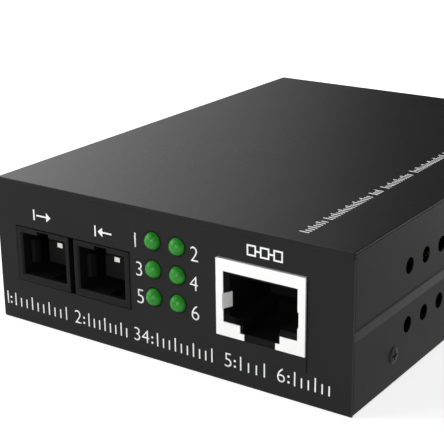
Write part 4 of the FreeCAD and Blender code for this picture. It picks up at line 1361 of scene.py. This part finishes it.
@dataclass
class Studio:
    """White floor, soft lamps, a room lit by direction, and the camera."""

    eye: tuple[float, float, float] = (109.529 * MM, -187.488 * MM, 85.676 * MM)
    azimuth: float = 34.687
    elevation: float = 19.104
    roll: float = -0.662
    lens: float = 97.385
    sensor: float = 36.0
    clips: tuple[float, float] = (0.005, 50.0)
    floor_half: float = 6.0
    floor_tone: float = 0.8
    floor_glow: float = 0.6
    across: tuple[Point, ...] = ((-1.0, 4.4), (-0.74, 4.4), (-0.6, 1.95), (-0.43, 0.02),
                                 (-0.12, 0.02), (0.2, 1.5), (0.5, 1.1), (0.75, 0.2), (1.0, 0.2))
    upwards: tuple[Point, ...] = ((-1.0, 0.0), (0.03, 0.0), (0.3, 1.02), (0.42, 1.7),
                                  (0.52, 1.1), (0.75, 0.08), (1.0, 0.08))
    brightest: float = 4.5
    aim_height: float = 10 * MM
    lamps: tuple[SoftLamp, ...] = (
        SoftLamp("left_lamp", (-0.7, -0.56, 1.31), 0.5, 3.0),
        SoftLamp("front_lamp", (0.25, -1.35, 0.35), 0.7, 9.4),
        SoftLamp("back_left_lamp", (-0.8, 0.8, 1.06), 0.5, 4.0),
        SoftLamp("back_right_lamp", (0.53, 1.25, 0.66), 0.5, 4.2))

    def camera(self) -> None:
        """Aim the camera."""
        az, el, roll = (math.radians(a) for a in (self.azimuth, self.elevation, self.roll))
        back = Vector((math.sin(az) * math.cos(el), -math.cos(az) * math.cos(el), math.sin(el)))
        right = (-back).cross(Vector((0, 0, 1))).normalized()
        up = right.cross(-back)
        c, s = math.cos(roll), math.sin(roll)
        right, up = c * right + s * up, c * up - s * right
        data = bpy.data.cameras.new("camera")
        data.lens = self.lens
        data.sensor_width = self.sensor
        data.clip_start, data.clip_end = self.clips
        camera = bpy.data.objects.new("camera", data)
        turn = Matrix((right, up, back)).transposed().to_4x4()
        camera.matrix_world = Matrix.Translation(self.eye) @ turn
        bpy.context.scene.collection.objects.link(camera)
        bpy.context.scene.camera = camera

    def floor(self) -> None:
        """Lay the white floor, which takes the shadow and glows only as seen or mirrored."""
        half = self.floor_half
        mesh = bpy.data.meshes.new("floor")
        mesh.from_pydata([(-half, -half, 0), (half, -half, 0), (half, half, 0), (-half, half, 0)],
                         [], [(0, 1, 2, 3)])
        floor = new_piece("floor", mesh)
        material = bpy.data.materials.new("floor_white")
        graph = Graph.emptied(material)
        matt = graph.node("ShaderNodeBsdfDiffuse", values={"Color": (*[self.floor_tone] * 3, 1)})
        rays = graph.node("ShaderNodeLightPath").outputs
        seen = graph.math("MAXIMUM", rays["Is Camera Ray"], rays["Is Glossy Ray"])
        seen = graph.math("MAXIMUM", seen, rays["Is Transmission Ray"])
        strength = graph.math("MULTIPLY", seen, self.floor_glow)
        glow = graph.node("ShaderNodeEmission", links={"Strength": strength})
        both = graph.node("ShaderNodeAddShader", links={0: matt.outputs[0], 1: glow.outputs[0]})
        graph.node("ShaderNodeOutputMaterial", links={"Surface": both.outputs[0]})
        mesh.materials.append(material)

    def profile(self, graph: Graph, along: bpy.types.NodeSocket,
                points: tuple[Point, ...]) -> bpy.types.NodeSocket:
        """Level that follows straight lines between points over -1 to 1.

        Args:
            graph: graph of the world.
            along: value that runs from -1 to 1.
            points: place and level of each corner of the profile.

        Returns:
            The level as a socket.
        """
        spread = graph.node("ShaderNodeMapRange", links={"Value": along}, values={"From Min": -1})
        levels = graph.node("ShaderNodeFloatCurve", links={"Value": spread.outputs["Result"]})
        curve = levels.mapping.curves[0]
        for point, (_, level) in zip(curve.points, (points[0], points[-1])):
            point.location.y = level / self.brightest
        for place, level in points[1:-1]:
            curve.points.new((place + 1) / 2, level / self.brightest)
        for point in curve.points:
            point.handle_type = "VECTOR"
        levels.mapping.update()
        return graph.math("MULTIPLY", levels.outputs[0], self.brightest)

    def room(self) -> None:
        """Light the room by direction: bright far left, dark short of the middle, soft beyond."""
        world = bpy.data.worlds.new("room")
        bpy.context.scene.world = world
        graph = Graph.emptied(world)
        place = graph.node("ShaderNodeTexCoord").outputs["Generated"]
        split = graph.node("ShaderNodeSeparateXYZ", links={0: place}).outputs
        level = graph.math("MULTIPLY", self.profile(graph, split["X"], self.across),
                           self.profile(graph, split["Z"], self.upwards))
        background = graph.node("ShaderNodeBackground", links={"Strength": level})
        graph.node("ShaderNodeOutputWorld", links={"Surface": background.outputs[0]})

    def build(self) -> None:
        """Set up the whole studio."""
        bpy.context.scene.view_settings.view_transform = "Standard"
        self.camera()
        self.floor()
        self.room()
        for lamp in self.lamps:
            lamp.hang(Vector((0, 0, self.aim_height)))


def main() -> None:
    """Dress the object and light it."""
    logging.basicConfig(level=logging.INFO, format="%(name)s: %(message)s")
    shelf = FinishShelf(FINISHES)
    shelf.dress_nodes()
    for part in (TopCover, BaseTray, CaseScrews, StatusLamps, ModularJack, FibreTransceiver,
                 PowerInlet, FrontPrint, CoverPrint):
        part(shelf).build()
        LOG.info("%s built", part.__name__)
    Studio().build()


if __name__ == "__main__":
    main()
